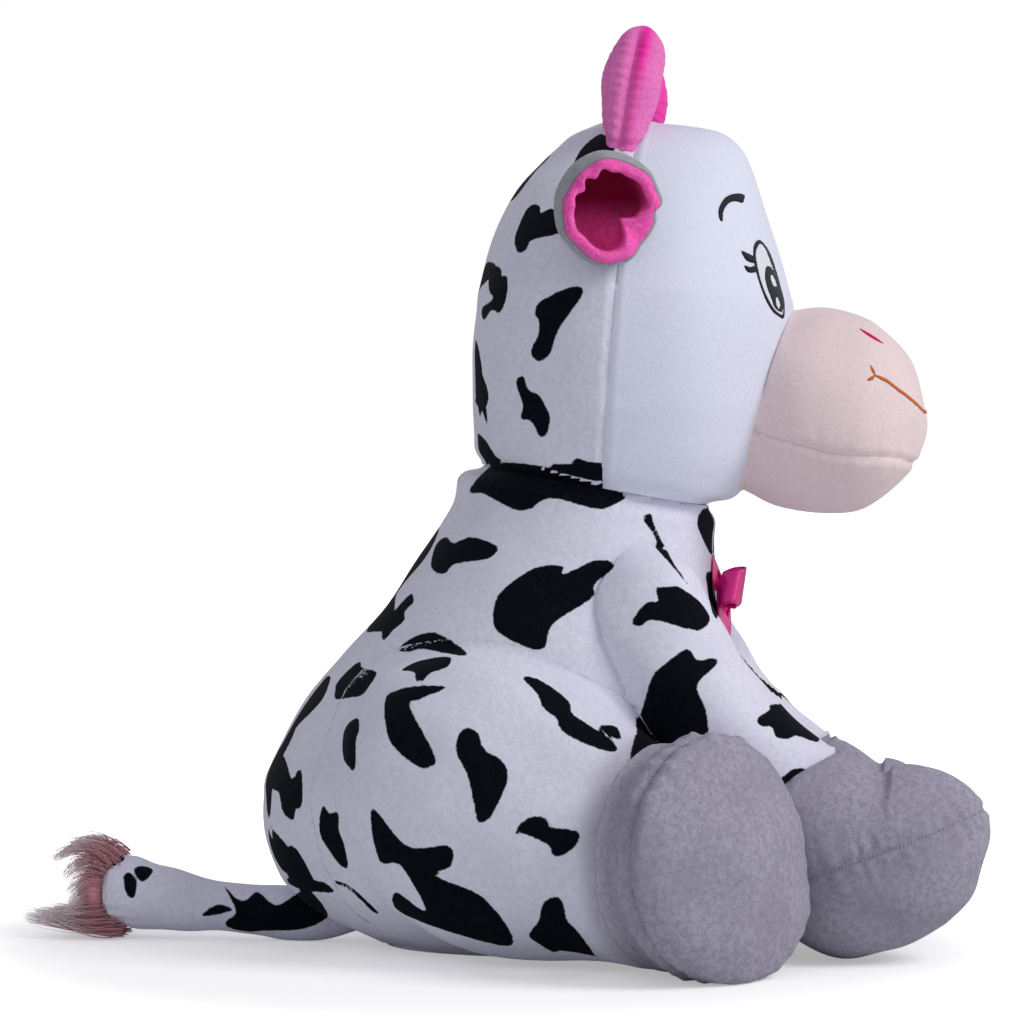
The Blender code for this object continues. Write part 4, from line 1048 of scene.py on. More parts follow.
bowPieces = []
knotForm = {"reach": (0, 0, bow["knot"][2]), "girth": (bow["knot"][0], bow["knot"][1]), "spacing": .0008,
            "rows": ((0, 0, -.5, 0, 0), (0, 0, -.47, .62, .62), (0, 0, -.36, .92, .95), (0, 0, 0, 1, 1),
                     (0, 0, .36, .92, .95), (0, 0, .47, .62, .62), (0, 0, .5, 0, 0))}
knot = drawForm("bowKnot", bowSpot, knotForm, satin, level=True)
pressOut(knot, torsoForm, bow["gap"])
bowPieces.append((knot, "bow_knot"))
for sideName, side in sides:
    shape = bow["loop"]
    path, half, ways = [], [], []
    root = bow["knot"][0] / 2 - shape["sunk"]
    for step in range(shape["steps"]):
        turn = 2 * math.pi * (step + .5) / shape["steps"]
        share = (1 - math.cos(turn)) / 2
        swell = math.sin(turn) * math.sin(turn / 2) ** shape["peak"]
        path.append(bowSpot + heading(shape["forward"] * share + swell * shape["depth"] / 2,
                                      root + shape["length"] * share, shape["rise"] * share, side))
        half.append(bow["width"] / 2 * (shape["narrow"] + shape["widen"]
                                        * min(1, share * shape["by"]) ** shape["power"]))
        ways.append(unit(heading(shape["tilt"] + shape["lean"] * share, -shape["cup"] * share, 1, side)))
    loop = ribbonStrip("bowLoop_" + sideName, path, half, ways, True)
    pressOut(loop, torsoForm, bow["gap"])
    bowPieces.append((loop, "bow_loop_" + sideName))
    shape = bow["tail"]
    path, half, ways = [], [], []
    for step in range(shape["steps"]):
        share = step / (shape["steps"] - 1)
        up = shape["top"] - (shape["top"] + shape["length"]) * share
        back = shape["sunk"] + shape["back"] * max(0, up / shape["top"]) ** shape["power"]
        over = shape["over"] * (1 - min(1, abs(up) / shape["reach"]))
        path.append(bowSpot + heading(over - back + shape["wave"] * math.sin(share * shape["waves"] + side),
                                      shape["root"] + shape["spread"] * max(0, -up / shape["length"]), up, side))
        wide = shape["narrow"] + (shape["top"] - up) * shape["widen"]
        half.append(bow["width"] / 2 * (min(shape["most"], wide) if up > 0 else shape["most"]))
        ways.append(unit(heading(*shape["way"], side)))
    strip = ribbonStrip("bowTail_" + sideName, path, half, ways, False)
    pressOut(strip, torsoForm, shape["gap"])
    bowPieces.append((strip, "bow_tail_" + sideName))
print("bow is tied")

# Cow spots: outlines in the photograph's frame, cast on to the cloth; every vertex keeps its distance to them

spotLines = {
    "collar": ((626, 494), (615, 504), (597, 509), (551, 498), (530, 509), (513, 509), (484, 494), (469, 492),
        (482, 474), (500, 463), (541, 466), (602, 481)),
    "neckCrest": ((602, 481), (556, 471), (553, 464), (571, 464), (576, 458), (589, 462), (602, 464)),
    "shoulderBean": ((497, 546), (496, 552), (487, 559), (455, 564), (446, 573), (437, 573), (431, 565), (436, 545),
        (446, 537), (454, 543), (472, 537)),
    "backMap": ((493, 622), (500, 593), (535, 568), (562, 566), (564, 574), (597, 560), (614, 566), (594, 585),
        (592, 598), (553, 624), (542, 650), (507, 638)),
    "backFin": ((412, 594), (413, 603), (405, 611), (404, 621), (393, 630), (386, 639), (382, 638), (385, 624),
        (403, 601)),
    "backSliver": ((384, 600), (396, 584), (404, 582), (390, 602)),
    "hipCap": ((398, 650), (410, 639), (426, 633), (439, 634), (463, 649), (463, 656), (423, 649), (410, 652)),
    "hipLeaf": ((451, 658), (447, 667), (431, 673), (421, 682), (416, 680), (414, 672), (402, 670), (416, 662),
        (439, 657)),
    "loinStar": ((336, 699), (335, 691), (339, 680), (358, 662), (363, 668), (375, 671), (376, 676), (370, 685),
        (362, 695), (347, 698)),
    "rumpStrip": ((329, 676), (328, 687), (319, 704), (293, 731), (288, 746), (280, 735), (288, 705), (308, 682)),
    "thighHook": ((431, 766), (421, 768), (403, 756), (388, 737), (385, 700), (398, 690), (418, 686), (447, 687),
        (418, 700), (410, 707), (435, 756)),
    "thighDrop": ((481, 823), (477, 820), (468, 777), (456, 751), (460, 732), (469, 728), (478, 733), (484, 749),
        (500, 759), (507, 769), (507, 782), (492, 815)),
    "thighEdge": ((617, 751), (599, 749), (564, 733), (556, 718), (543, 708), (538, 695), (523, 678), (535, 678),
        (556, 690), (570, 703), (574, 715), (609, 738)),
    "underArm": ((599, 726), (615, 726), (620, 733), (620, 740), (605, 733)),
    "loinBar": ((355, 769), (348, 766), (343, 756), (343, 736), (348, 724), (358, 718), (359, 731), (356, 741)),
    "rumpFork": ((293, 820), (283, 812), (279, 793), (273, 789), (272, 779), (280, 756), (285, 758), (292, 779),
        (298, 770), (302, 774), (302, 805), (296, 809)),
    "hamBar": ((348, 866), (341, 866), (330, 852), (320, 834), (320, 815), (324, 806), (329, 813), (338, 813),
        (339, 830), (344, 844)),
    "hamMap": ((510, 946), (405, 915), (396, 892), (426, 911), (401, 866), (379, 860), (372, 808), (407, 846),
        (449, 846), (451, 866), (436, 876), (485, 899)),
    "calfBone": ((514, 834), (520, 824), (531, 817), (543, 817), (550, 822), (550, 827), (576, 831), (579, 841),
        (564, 855), (553, 855), (548, 845), (525, 834)),
    "seatStrip": ((266, 824), (289, 848), (305, 873), (315, 880), (325, 883), (334, 892), (309, 891), (295, 887),
        (281, 877), (262, 856), (255, 835)),
    "seatLeaf": ((379, 913), (372, 911), (360, 899), (348, 889), (338, 885), (335, 881), (344, 883), (356, 891)),
    "heel": ((594, 960), (565, 958), (533, 940), (530, 933), (539, 920), (541, 908), (548, 899), (558, 897),
        (564, 906), (567, 920), (579, 933), (596, 957)),
    "armMap": ((636, 764), (632, 748), (650, 683), (659, 669), (686, 649), (697, 660), (713, 658), (717, 664),
        (697, 686), (706, 710), (706, 738), (679, 741)),
    "armClover": ((816, 742), (797, 736), (788, 739), (776, 737), (772, 727), (761, 726), (757, 719), (769, 710),
        (769, 706), (776, 704), (790, 708), (817, 736)),
    "wristDrop": ((779, 781), (790, 771), (799, 768), (807, 770), (807, 775), (785, 789)),
    "chestFish": ((710, 619), (702, 629), (692, 630), (654, 620), (640, 626), (632, 621), (646, 603), (658, 601),
        (656, 588), (669, 587), (679, 587), (700, 602)),
    "neckSpear": ((687, 584), (667, 560), (656, 548), (657, 543), (652, 532), (644, 521), (644, 516), (651, 514),
        (654, 524), (661, 539), (673, 562), (682, 575)),
    "throatLeaf": ((712, 555), (701, 535), (697, 522), (702, 510), (712, 509), (713, 528)),
    "throatBar": ((717, 618), (713, 614), (709, 599), (707, 585), (706, 574), (712, 572), (716, 583), (718, 602)),
    "crownPatch": ((575, 164), (578, 154), (587, 143), (601, 134), (610, 141), (614, 152), (601, 158), (589, 160)),
    "crownSliver": ((506, 196), (525, 168), (545, 148), (550, 156), (535, 172), (513, 200)),
    "hoodFlag": ((520, 253), (516, 249), (515, 237), (525, 212), (534, 204), (540, 207), (541, 213), (550, 209),
        (560, 212), (560, 232), (532, 240), (527, 249)),
    "hoodKnot": ((495, 266), (501, 269), (502, 276), (507, 277), (507, 294), (500, 313), (492, 310), (484, 320),
        (482, 308), (493, 299), (489, 290), (489, 276)),
    "hoodTongue": ((583, 289), (580, 299), (559, 329), (550, 354), (539, 361), (532, 356), (532, 347), (538, 336),
        (539, 322), (535, 313), (541, 301), (571, 287)),
    "hoodBar": ((474, 339), (479, 350), (482, 372), (488, 391), (488, 402), (482, 410), (477, 405), (470, 391),
        (466, 363)),
    "hoodFigure": ((547, 434), (539, 436), (532, 422), (521, 418), (523, 405), (516, 384), (519, 377), (524, 377),
        (528, 389), (539, 395), (546, 407), (550, 418)),
    "napeWedge": ((502, 463), (478, 463), (474, 447), (478, 434), (486, 441), (495, 455)),
    "tailDot": ((131, 898), (127, 895), (124, 886), (124, 875), (130, 873), (135, 878), (137, 882), (135, 895)),
    "tailCap": ((153, 870), (146, 880), (140, 881), (136, 876), (134, 869), (142, 866)),
    "tailMap": ((326, 910), (324, 920), (295, 930), (236, 929), (226, 922), (236, 911), (224, 886), (236, 898),
        (246, 900), (258, 892), (277, 905), (306, 890)),
    "tailLeaf": ((232, 910), (220, 914), (206, 916), (203, 914), (214, 906), (224, 905)),
    "tailEnd": ((105, 873), (110, 863), (122, 858), (124, 860), (112, 867)),
}
# outlines used again where the photograph doesn't look: name, turn round the body, height, length, turn in place
backSpots = (
    ("backMap", 178, .250, .085, 40), ("hamBar", 150, .235, .050, 80), ("loinStar", 205, .215, .045, 20),
    ("hoodTongue", 165, .170, .060, 100), ("thighDrop", 196, .120, .070, 10), ("armClover", 150, .105, .052, 60),
    ("wristDrop", 176, .075, .040, 30), ("calfBone", 205, .060, .060, 140), ("hoodKnot", 172, .300, .045, 70),
    ("thighHook", 0, .150, .080, 200), ("loinBar", 20, .105, .045, 20), ("backFin", -22, .115, .050, 110),
    ("hoodFlag", 8, .070, .045, 20), ("chestFish", 2, .195, .050, 100),
)
hoodSpots = (
    ("hoodFlag", 182, .500, .048, 30), ("hoodTongue", 158, .440, .060, 10), ("hamBar", 200, .430, .055, 120),
    ("hoodFigure", 176, .375, .052, 60), ("armClover", 150, .345, .045, 10), ("hoodKnot", 208, .360, .045, 0),
    ("loinStar", 180, .560, .042, 50),
)
spotMaking = {"steps": 6, "beyond": .014, "rim": 5, "far": .020, "reach": .030, "lap": .011, "seed": 17,
              "facing": .05, "under": .010, "over": .018, "owner": .15, "middle": .012, "outside": .6,
              "twinTurn": (35, 150), "twinSize": (.85, 1.1)}


def smoothLoop(corners, steps):
    corners = np.array(corners, float)
    before, after, beyond = (np.roll(corners, shift, axis=0) for shift in (1, -1, -2))
    parts = np.arange(steps)[:, None, None] / steps
    return splinePart(before, corners, after, beyond, parts).transpose(1, 0, 2).reshape(-1, 2)


spotted = [torsoCover, headHood, tailCover]
for row in limbPieces:
    spotted += [row[4], row[7]]
spottedTrees = [clothTree(piece) for piece in spotted]
spottedPoints = [pointsOf(piece) for piece in spotted]
spottedNormals = [normalsOf(piece) for piece in spotted]
inkDistance = [np.full(len(points), -spotMaking["far"]) for points in spottedPoints]


def meetCloth(start, trees, way=None):
    # the first cloth along a way, or else the nearest: which piece, the spot on it, its normal, how far
    best = None
    for index in trees:
        tree, place = spottedTrees[index], Vector(start)
        spot, normal, _, far = tree.find_nearest(place) if way is None else tree.ray_cast(place, Vector(way))
        if spot is not None and (best is None or far < best[3]):
            best = (index, np.array(spot), np.array(normal), far)
    return best


def layLoop(places, trees):
    hits = [meetCloth(place, trees) for place in places]
    return np.array([hit[1] for hit in hits]), np.array([hit[2] for hit in hits])


def paintSpot(loop, normals, trees):
    # keeps, for the cloth near a closed line, the distance to it: positive inside
    centre = loop.mean(axis=0)
    normal, one, other = seamAxes(normals.mean(axis=0))
    flat = np.stack([(loop - centre) @ one, (loop - centre) @ other], axis=1)
    following = np.roll(loop, -1, axis=0)
    flatNext = np.roll(flat, -1, axis=0)
    reach = np.linalg.norm(loop - centre, axis=1).max() + spotMaking["reach"]
    depths = (loop - centre) @ normal
    for index, points in enumerate(spottedPoints):
        near = np.nonzero((np.abs(points - centre) < reach).all(axis=1))[0]
        near = near[spottedNormals[index][near] @ normal > spotMaking["facing"]]
        depth = (points[near] - centre) @ normal
        near = near[(depth > depths.min() - spotMaking["under"]) & (depth < depths.max() + spotMaking["over"])]
        if index not in trees:
            near = np.array([v for v in near if meetCloth(points[v], trees)[3] < spotMaking["lap"]], int)
        if len(near) == 0:
            continue
        here = points[near]
        closest = np.full(len(near), 1.0)
        inside = np.zeros(len(near), bool)
        across, up = (here - centre) @ one, (here - centre) @ other
        for first, second, flatFirst, flatSecond in zip(loop, following, flat, flatNext):
            span = second - first
            share = np.clip(((here - first) @ span) / max(span @ span, 1e-12), 0, 1)
            closest = np.minimum(closest, np.linalg.norm(here - first - share[:, None] * span, axis=1))
            crosses = (flatFirst[1] > up) != (flatSecond[1] > up)
            rise = flatSecond[1] - flatFirst[1]
            level = flatFirst[0] + (flatSecond[0] - flatFirst[0]) * (up - flatFirst[1]) / (rise if rise else 1)
            inside ^= crosses & (across < level)
        signed = np.clip(np.where(inside, closest, -closest), -spotMaking["far"], spotMaking["far"])
        inkDistance[index][near] = np.maximum(inkDistance[index][near], signed)


def castLoop(corners):
    # the outline on the cloth; past the cloth's edge it runs on round the far side
    stand = shotStand()
    loop = smoothLoop(corners, spotMaking["steps"])
    middle = loop.mean(axis=0)
    everything = range(len(spotted))
    hits = [meetCloth(stand, everything, rayThrough(*pixel)) for pixel in loop]
    if not any(hits):
        return None
    depth = np.mean([hit[3] for hit in hits if hit])
    for index, pixel in enumerate(loop):
        outward = pixel + unit(pixel - middle) * spotMaking["rim"]
        if hits[index] is None or meetCloth(stand, everything, rayThrough(*outward)) is None:
            way = rayThrough(*pixel)
            near = meetCloth(stand + way * depth, everything)
            around = unit(-way - near[2] * (-way @ near[2]))
            hits[index] = meetCloth(near[1] - around * spotMaking["beyond"], everything)
    owners = [hit[0] for hit in hits]
    main = [index for index in set(owners) if owners.count(index) / len(owners) > spotMaking["owner"]]
    return np.array([hit[1] for hit in hits]), np.array([hit[2] for hit in hits]), main


def turnedLoop(loop, normals, angle, scale, trees):
    # the same outline turned and sized on the spot, laid back on to the cloth
    centre = loop.mean(axis=0)
    normal = unit(normals.mean(axis=0))
    arm = (loop - centre) * scale
    turned = (arm * math.cos(angle) + np.cross(normal, arm) * math.sin(angle)
              + normal * (arm @ normal)[:, None] * (1 - math.cos(angle)))
    return layLoop(centre + turned, trees)


def placedLoop(name, angle, height, length, turn, trees, axis):
    # one of the outlines, put where a direction from the body's axis meets the cloth
    direction = math.radians(angle)
    way = np.array([math.sin(direction), -math.cos(direction), 0])
    hit = meetCloth(np.array([axis[0], axis[1], height]) + way * spotMaking["outside"], trees, -way)
    if hit is None:
        return None
    flat = smoothLoop(spotLines[name], spotMaking["steps"])
    flat = flat - flat.mean(axis=0)
    flat = flat * length / np.ptp(flat, axis=0).max()
    normal, one, other = seamAxes(hit[2])
    lean = math.radians(turn)
    across = flat[:, 0] * math.cos(lean) - flat[:, 1] * math.sin(lean)
    up = flat[:, 0] * math.sin(lean) + flat[:, 1] * math.cos(lean)
    return layLoop([hit[1] + one * a + other * b for a, b in zip(across, up)], trees)


spotRng = random.Random(spotMaking["seed"])
mirrorOf = {0: 0, 1: 1, 2: 2, 3: 5, 4: 6, 5: 3, 6: 4}  # places in the spotted list
flipped = np.array([-1, 1, 1])
for name, corners in spotLines.items():
    cast = castLoop(corners)
    if cast is None:
        print("no cloth lies under", name)
        continue
    loop, normals, owners = cast
    paintSpot(loop, normals, owners)
    owners = [mirrorOf[index] for index in owners]
    if 2 in owners or abs(loop[:, 0].mean()) < spotMaking["middle"]:
        continue
    angle = math.radians(spotRng.uniform(*spotMaking["twinTurn"])) * spotRng.choice((-1, 1))
    twin = turnedLoop(loop * flipped, normals * flipped, angle, spotRng.uniform(*spotMaking["twinSize"]), owners)
    paintSpot(*twin, owners)
for rows, owners, axis in ((backSpots, [0], cowMiddle), (hoodSpots, [1], headRoot)):
    for row in rows:
        placed = placedLoop(*row, owners, axis)
        if placed:
            paintSpot(*placed, owners)

for piece, distance in zip(spotted, inkDistance):
    keepAttribute(piece, "spotDistance", distance)
keepAttribute(seatPanel, "spotDistance", np.full(len(seatPanel.data.vertices), -spotMaking["far"]))
print("spots are laid")

# Stitches and tuft strands, made by node trees

# deepen and plyRamp set the painted shade between the plies
threadLook = {"roughness": .55, "specular": .15, "ply": (1500, 2.0, .6), "deepen": .72, "plyRamp": (.3, .7),
              "tipRamp": (.25, .95), "bump": (.35, .0004)}


def threadMaterial(name, colour, roughness=threadLook["roughness"], tip=None):
    material, tree, shader, where = startCloth(name, roughness, threadLook["specular"])
    ply = noiseOf(tree, where, *threadLook["ply"])
    # painted shade between the plies: where the ply noise sinks the bump, the colour deepens
    deep = tuple(part * threadLook["deepen"] for part in colour)
    shade = mixColours(tree, rampOf(tree, ply, *threadLook["plyRamp"]), deep, colour)
    if tip:
        share = addNode(tree, "Attribute", attribute_name="along").outputs["Fac"]
        shade = mixColours(tree, rampOf(tree, share, *threadLook["tipRamp"]), shade, tip)
    finishCloth(tree, shader, shade, ply, *threadLook["bump"])
    return material


thread = {
    "black": threadMaterial("blackThread", (.004, .005, .014)),
    "white": threadMaterial("whiteThread", (.88, .89, .97)),
    "crimson": threadMaterial("crimsonThread", (.80, .001, .120)),
    "orange": threadMaterial("orangeThread", (.66, .180, .040)),
    "grey": threadMaterial("greyThread", (.46, .44, .52)),
    "tuft": threadMaterial("tuftFibre", (.74, .36, .40), .5, (.96, .86, .88)),
}


def startTree(name, inputs):
    # a tree, its inputs' sockets, a function that adds a node and gives one output, and one that ends the tree
    tree = bpy.data.node_groups.new(name, "GeometryNodeTree")
    for way in ("INPUT", "OUTPUT"):
        tree.interface.new_socket("Geometry", in_out=way, socket_type="NodeSocketGeometry")
    for label, kind, value in inputs:
        tree.interface.new_socket(label, in_out="INPUT", socket_type="NodeSocket" + kind).default_value = value
    given, out = tree.nodes.new("NodeGroupInput").outputs, tree.nodes.new("NodeGroupOutput")

    def step(kind, links, output=0, **settings):
        return treeNode(tree, kind, links, **settings).outputs[output]

    def finish(shape, material):
        real = step("GeometryNodeRealizeInstances", {"Geometry": shape})
        feed(tree, out.inputs[0], step("GeometryNodeSetMaterial", {"Geometry": real, "Material": material}))
        return tree

    return tree, given, step, finish


def grow(name, spots, edges, tree, values, ways=None):
    # runs a tree on points and edges, and keeps the result as a plain mesh
    mesh = bpy.data.meshes.new(name + "Base")
    mesh.from_pydata([tuple(spot) for spot in spots], edges, [])
    if ways is not None:
        mesh.attributes.new("way", "FLOAT_VECTOR", "POINT").data.foreach_set("vector", ways.ravel())
    base = placeObject(name + "Base", mesh)
    modifier = base.modifiers.new("nodes", "NODES")
    modifier.node_group = tree
    for item in tree.interface.items_tree:
        if item.in_out == "INPUT" and item.name in values:
            modifier[item.identifier] = values[item.name]
    bpy.context.view_layer.update()
    mesh = bpy.data.meshes.new_from_object(base.evaluated_get(bpy.context.evaluated_depsgraph_get()))
    base.modifiers.remove(modifier)
    drop(base)
    mesh.name = name
    return placeObject(name, mesh)


def makeStitchTree(material):
    tree, given, step, finish = startTree("stitches", [("Stitch Length", "Float", .003),
                                                       ("Thread Thickness", "Float", .0008)])
    way = step("GeometryNodeInputNamedAttribute", {"Name": "way"}, data_type="FLOAT_VECTOR")
    turn = step("FunctionNodeAlignEulerToVector", {"Vector": way}, axis="Z")
    ball = step("GeometryNodeMeshUVSphere", {"Segments": 7, "Rings": 5, "Radius": .5}, "Mesh")
    size = step("ShaderNodeCombineXYZ", {"X": given["Thread Thickness"], "Y": given["Thread Thickness"],
                                         "Z": given["Stitch Length"]})
    laid = step("GeometryNodeInstanceOnPoints", {"Points": given["Geometry"], "Instance": ball,
                                                 "Rotation": turn, "Scale": size})
    return finish(laid, material)


stitching = {"pitch": .0025, "length": .0034, "thickness": .0008, "lean": .35, "proud": .0001, "lowest": .0015}
stitchTree = makeStitchTree(thread["grey"])
stitchPieces = []
for bodyName, loop in stitchLoops.items():
    places = np.array([row[0] for row in loop])
    outward = np.array([row[1] for row in loop])
    walked = walkedAlong(places)
    even = np.arange(stitching["pitch"], walked[-1], stitching["pitch"])
    laid = pickedAt(even, walked, places)
    normals = unit(pickedAt(even, walked, outward))
    along = unit(np.gradient(laid, axis=0))
    across = unit(np.cross(normals, along) + along * stitching["lean"])
    keep = laid[:, 2] > stitching["lowest"]
    stitches = grow("stitches_" + bodyName, (laid + normals * stitching["proud"])[keep], [], stitchTree,
                    {"Stitch Length": stitching["length"], "Thread Thickness": stitching["thickness"]},
                    across[keep])
    stitchPieces.append((bodyName, stitches))
print("stitches are sewn")

# locks in the photograph's frame: root, bend and tip, and how far the tip leans out sideways
tuft = {"strands": 50, "spread": .0062, "thickness": .00032, "seed": 5, "apart": (-.012, 0, .012), "points": 9,
        "rootShare": .85, "even": 12, "gather": (1.4, -.62, .95), "waveScale": 22.0, "wave": .016,
        "thinning": -.8, "lowest": .0004,
        "locks": (((121, 860), (100, 836), (76, 842), .2), ((115, 864), (90, 834), (59, 856), .4),
                  ((110, 870), (86, 850), (72, 874), .6), ((107, 880), (85, 870), (77, 888), .7),
                  ((106, 891), (84, 888), (78, 902), .7), ((107, 904), (85, 904), (70, 908), .6),
                  ((110, 914), (88, 917), (48, 911), .4), ((116, 922), (90, 926), (34, 914), .3),
                  ((122, 926), (98, 930), (66, 914), .4))}


def makeTuftTree(material):
    # each line becomes many strands: spread at the root, gathered and waved toward the tip, and thinner there
    tree, given, step, finish = startTree("tuftStrands", [("Strands", "Int", 50), ("Spread", "Float", .006),
                                                          ("Thickness", "Float", .0003), ("Seed", "Int", 5)])

    def number(operation, *values):
        return step("ShaderNodeMath", dict(enumerate(values)), operation=operation)

    def vector(operation, links):
        return step("ShaderNodeVectorMath", links, operation=operation)

    line = step("GeometryNodeMeshToCurve", {"Mesh": given["Geometry"]})
    even = step("GeometryNodeResampleCurve", {"Curve": line, "Count": tuft["even"]})
    many = step("GeometryNodeDuplicateElements", {"Geometry": even, "Amount": given["Strands"]}, domain="SPLINE")
    chance = step("FunctionNodeRandomValue", {"Min": (-1, -1, -1), "Max": (1, 1, 1), "Seed": given["Seed"]},
                  "Value", data_type="FLOAT_VECTOR")
    each = step("GeometryNodeFieldOnDomain", {"Value": chance}, data_type="FLOAT_VECTOR", domain="CURVE")
    place = step("GeometryNodeSplineParameter", {}, "Factor")
    power, fall, most = tuft["gather"]
    wide = number("MULTIPLY_ADD", number("POWER", place, power), fall, most)
    move = vector("SCALE", {0: each, "Scale": number("MULTIPLY", wide, given["Spread"])})
    shifted = vector("MULTIPLY_ADD", {0: step("GeometryNodeInputPosition", {}), 1: each, 2: each})
    noise = step("ShaderNodeTexNoise", {"Vector": shifted, "Scale": tuft["waveScale"], "Detail": 1.0}, "Color")
    centred = vector("ADD", {0: noise, 1: (-.5, -.5, -.5)})
    wave = vector("SCALE", {0: centred, "Scale": number("MULTIPLY", place, tuft["wave"])})
    moved = step("GeometryNodeSetPosition", {"Geometry": many, "Offset": vector("ADD", {0: move, 1: wave})})
    keep = step("GeometryNodeStoreNamedAttribute", {"Geometry": moved, "Name": "along", "Value": place},
                data_type="FLOAT", domain="POINT")
    girth = number("MULTIPLY", number("MULTIPLY_ADD", place, tuft["thinning"], 1.0), given["Thickness"])
    radius = step("GeometryNodeSetCurveRadius", {"Curve": keep, "Radius": girth})
    ring = step("GeometryNodeCurvePrimitiveCircle", {"Resolution": 3, "Radius": 1.0})
    solid = treeNode(tree, "GeometryNodeCurveToMesh", {"Curve": radius, "Profile Curve": ring, "Fill Caps": True})
    if "Scale" in solid.inputs:
        feed(tree, solid.inputs["Scale"], girth)
    return finish(solid.outputs[0], material)


def onMiddle(column, row):
    # the point of the cow's middle plane that a pixel of the photograph's frame shows
    stand, way = shotStand(), rayThrough(column, row)
    return stand - way * stand[0] / way[0]


spots, edges = [], []
for top, bend, tip, lean in tuft["locks"]:
    for apart in tuft["apart"]:
        corners = [onMiddle(*pixel) + np.array([apart * share, 0, 0])
                   for pixel, share in ((top, tuft["rootShare"]), (bend, 1 + lean * .5), (tip, 1 + lean))]
        for step in range(tuft["points"]):
            share = step / (tuft["points"] - 1)
            spots.append(corners[0] * (1 - share) ** 2 + corners[1] * 2 * share * (1 - share)
                         + corners[2] * share ** 2)
            if step:
                edges.append((len(spots) - 2, len(spots) - 1))
tuftStrands = grow("tuftStrands", spots, edges, makeTuftTree(thread["tuft"]),
                   {"Strands": tuft["strands"], "Spread": tuft["spread"], "Thickness": tuft["thickness"],
                    "Seed": tuft["seed"]})
points = pointsOf(tuftStrands)
points[:, 2] = np.maximum(points[:, 2], tuft["lowest"])
setPoints(tuftStrands, points)
print("tuft is combed")

# Embroidery: outlines in the photograph's frame, laid on the cloth as raised thread, and mirrored to the far side

stitchedLines = {
    "brow": ((719.4, 218.9), (718.4, 211.2), (720.4, 204.5), (725.1, 197.8), (731.8, 194.4), (739.5, 193.6),
             (744.3, 195.5), (743.9, 199.4), (742.4, 202.8), (735.7, 201.3), (729.9, 202.6), (725.5, 206.8),
             (722.8, 213.1), (722.3, 221.2)),
    "eyeRing": ((758.6, 239.9), (764.4, 244.7), (770.1, 254.3), (773.9, 264.8), (777.4, 276.3), (780.6, 287.7),
                (783.5, 299.2), (784.4, 310.7), (783.1, 318.4), (778.7, 316.4), (772, 310.7), (765.3, 299.2),
                (759.6, 283.9), (755.7, 270.5), (753.3, 257.1), (753.8, 245.7)),
    "eyeWhite": ((758.7, 244), (763.6, 247.6), (767.7, 256.6), (772.5, 270.3), (777.2, 283.9), (781.1, 298.5),
                 (782.3, 309.1), (781.2, 315.2), (773.5, 309.6), (765.6, 295.8), (759.8, 280.4), (756.3, 265),
                 (754.9, 253)),
    "pupil": ((766.3, 265.7), (772, 270.5), (776.8, 282), (780.6, 295.4), (782, 306.9), (780.6, 312.6),
              (773.9, 308.8), (769.1, 297.3), (764.4, 283.9), (763.4, 272.4)),
    "glintBig": ((768.6, 276.3), (771, 275.3), (773.9, 282), (775.4, 286.8), (773, 288.1), (770.1, 283.9)),
    "glintSmall": ((773.8, 298.2), (775.4, 297.2), (778, 301.5), (778.4, 306.8), (776.9, 309.6), (774.6, 305.4)),
    "lashTop": ((741.4, 251), (747.1, 253.3), (754.8, 257.5), (754.4, 262.9), (747.1, 261), (743.3, 256.2)),
    "lashLow": ((744.3, 265.7), (750, 267.1), (756.1, 265.7), (756.7, 271.5), (750, 272.8), (746.2, 270.5)),
    "nostril": ((859.5, 328.9), (864, 330.7), (872.8, 335.8), (883.4, 343.6), (874.8, 339.9), (866, 334.3)),
}
stitchedOrder = (("brow", .0007, "black"), ("lashTop", .0007, "black"), ("lashLow", .0007, "black"),
                 ("eyeRing", .0006, "black"), ("eyeWhite", .0009, "white"), ("pupil", .0012, "black"),
                 ("glintBig", .0015, "white"), ("glintSmall", .0015, "white"), ("nostril", .0006, "crimson"))
mouthLines = (((875, 375.4), (881, 378), (887.4, 381.2), (893, 385.6), (899, 390.3), (904, 393.8), (909, 397.7),
               (915, 402.8), (920, 407.6), (923.5, 411.4)), ((875, 375.4), (873, 370.5), (870.5, 365.4)),
              ((875, 375.4), (871.5, 378.6), (867.5, 380.3)))
sewing = {"steps": 5, "gridAcross": .7, "gridDown": 1.3, "clear": .5, "under": .0005, "edge": .45,
          "mouth": (.0013, .0007), "round": 8, "tip": .45, "patchBefore": .1, "mouthDepth": 2.1,
          "betweenSteps": 26}


def onCloth(tree, pixel, side, depth):
    # where a pixel's ray, or its mirror image, meets a cloth; past its edge, the nearest place on it
    flip = np.array([side, 1, 1])
    start, way = shotStand() * flip, rayThrough(*pixel) * flip
    spot, normal, _, _ = tree.ray_cast(Vector(start), Vector(way))
    if spot is None:
        spot, normal, _, _ = tree.find_nearest(Vector(start + way * depth))
    return np.array(spot), np.array(normal)


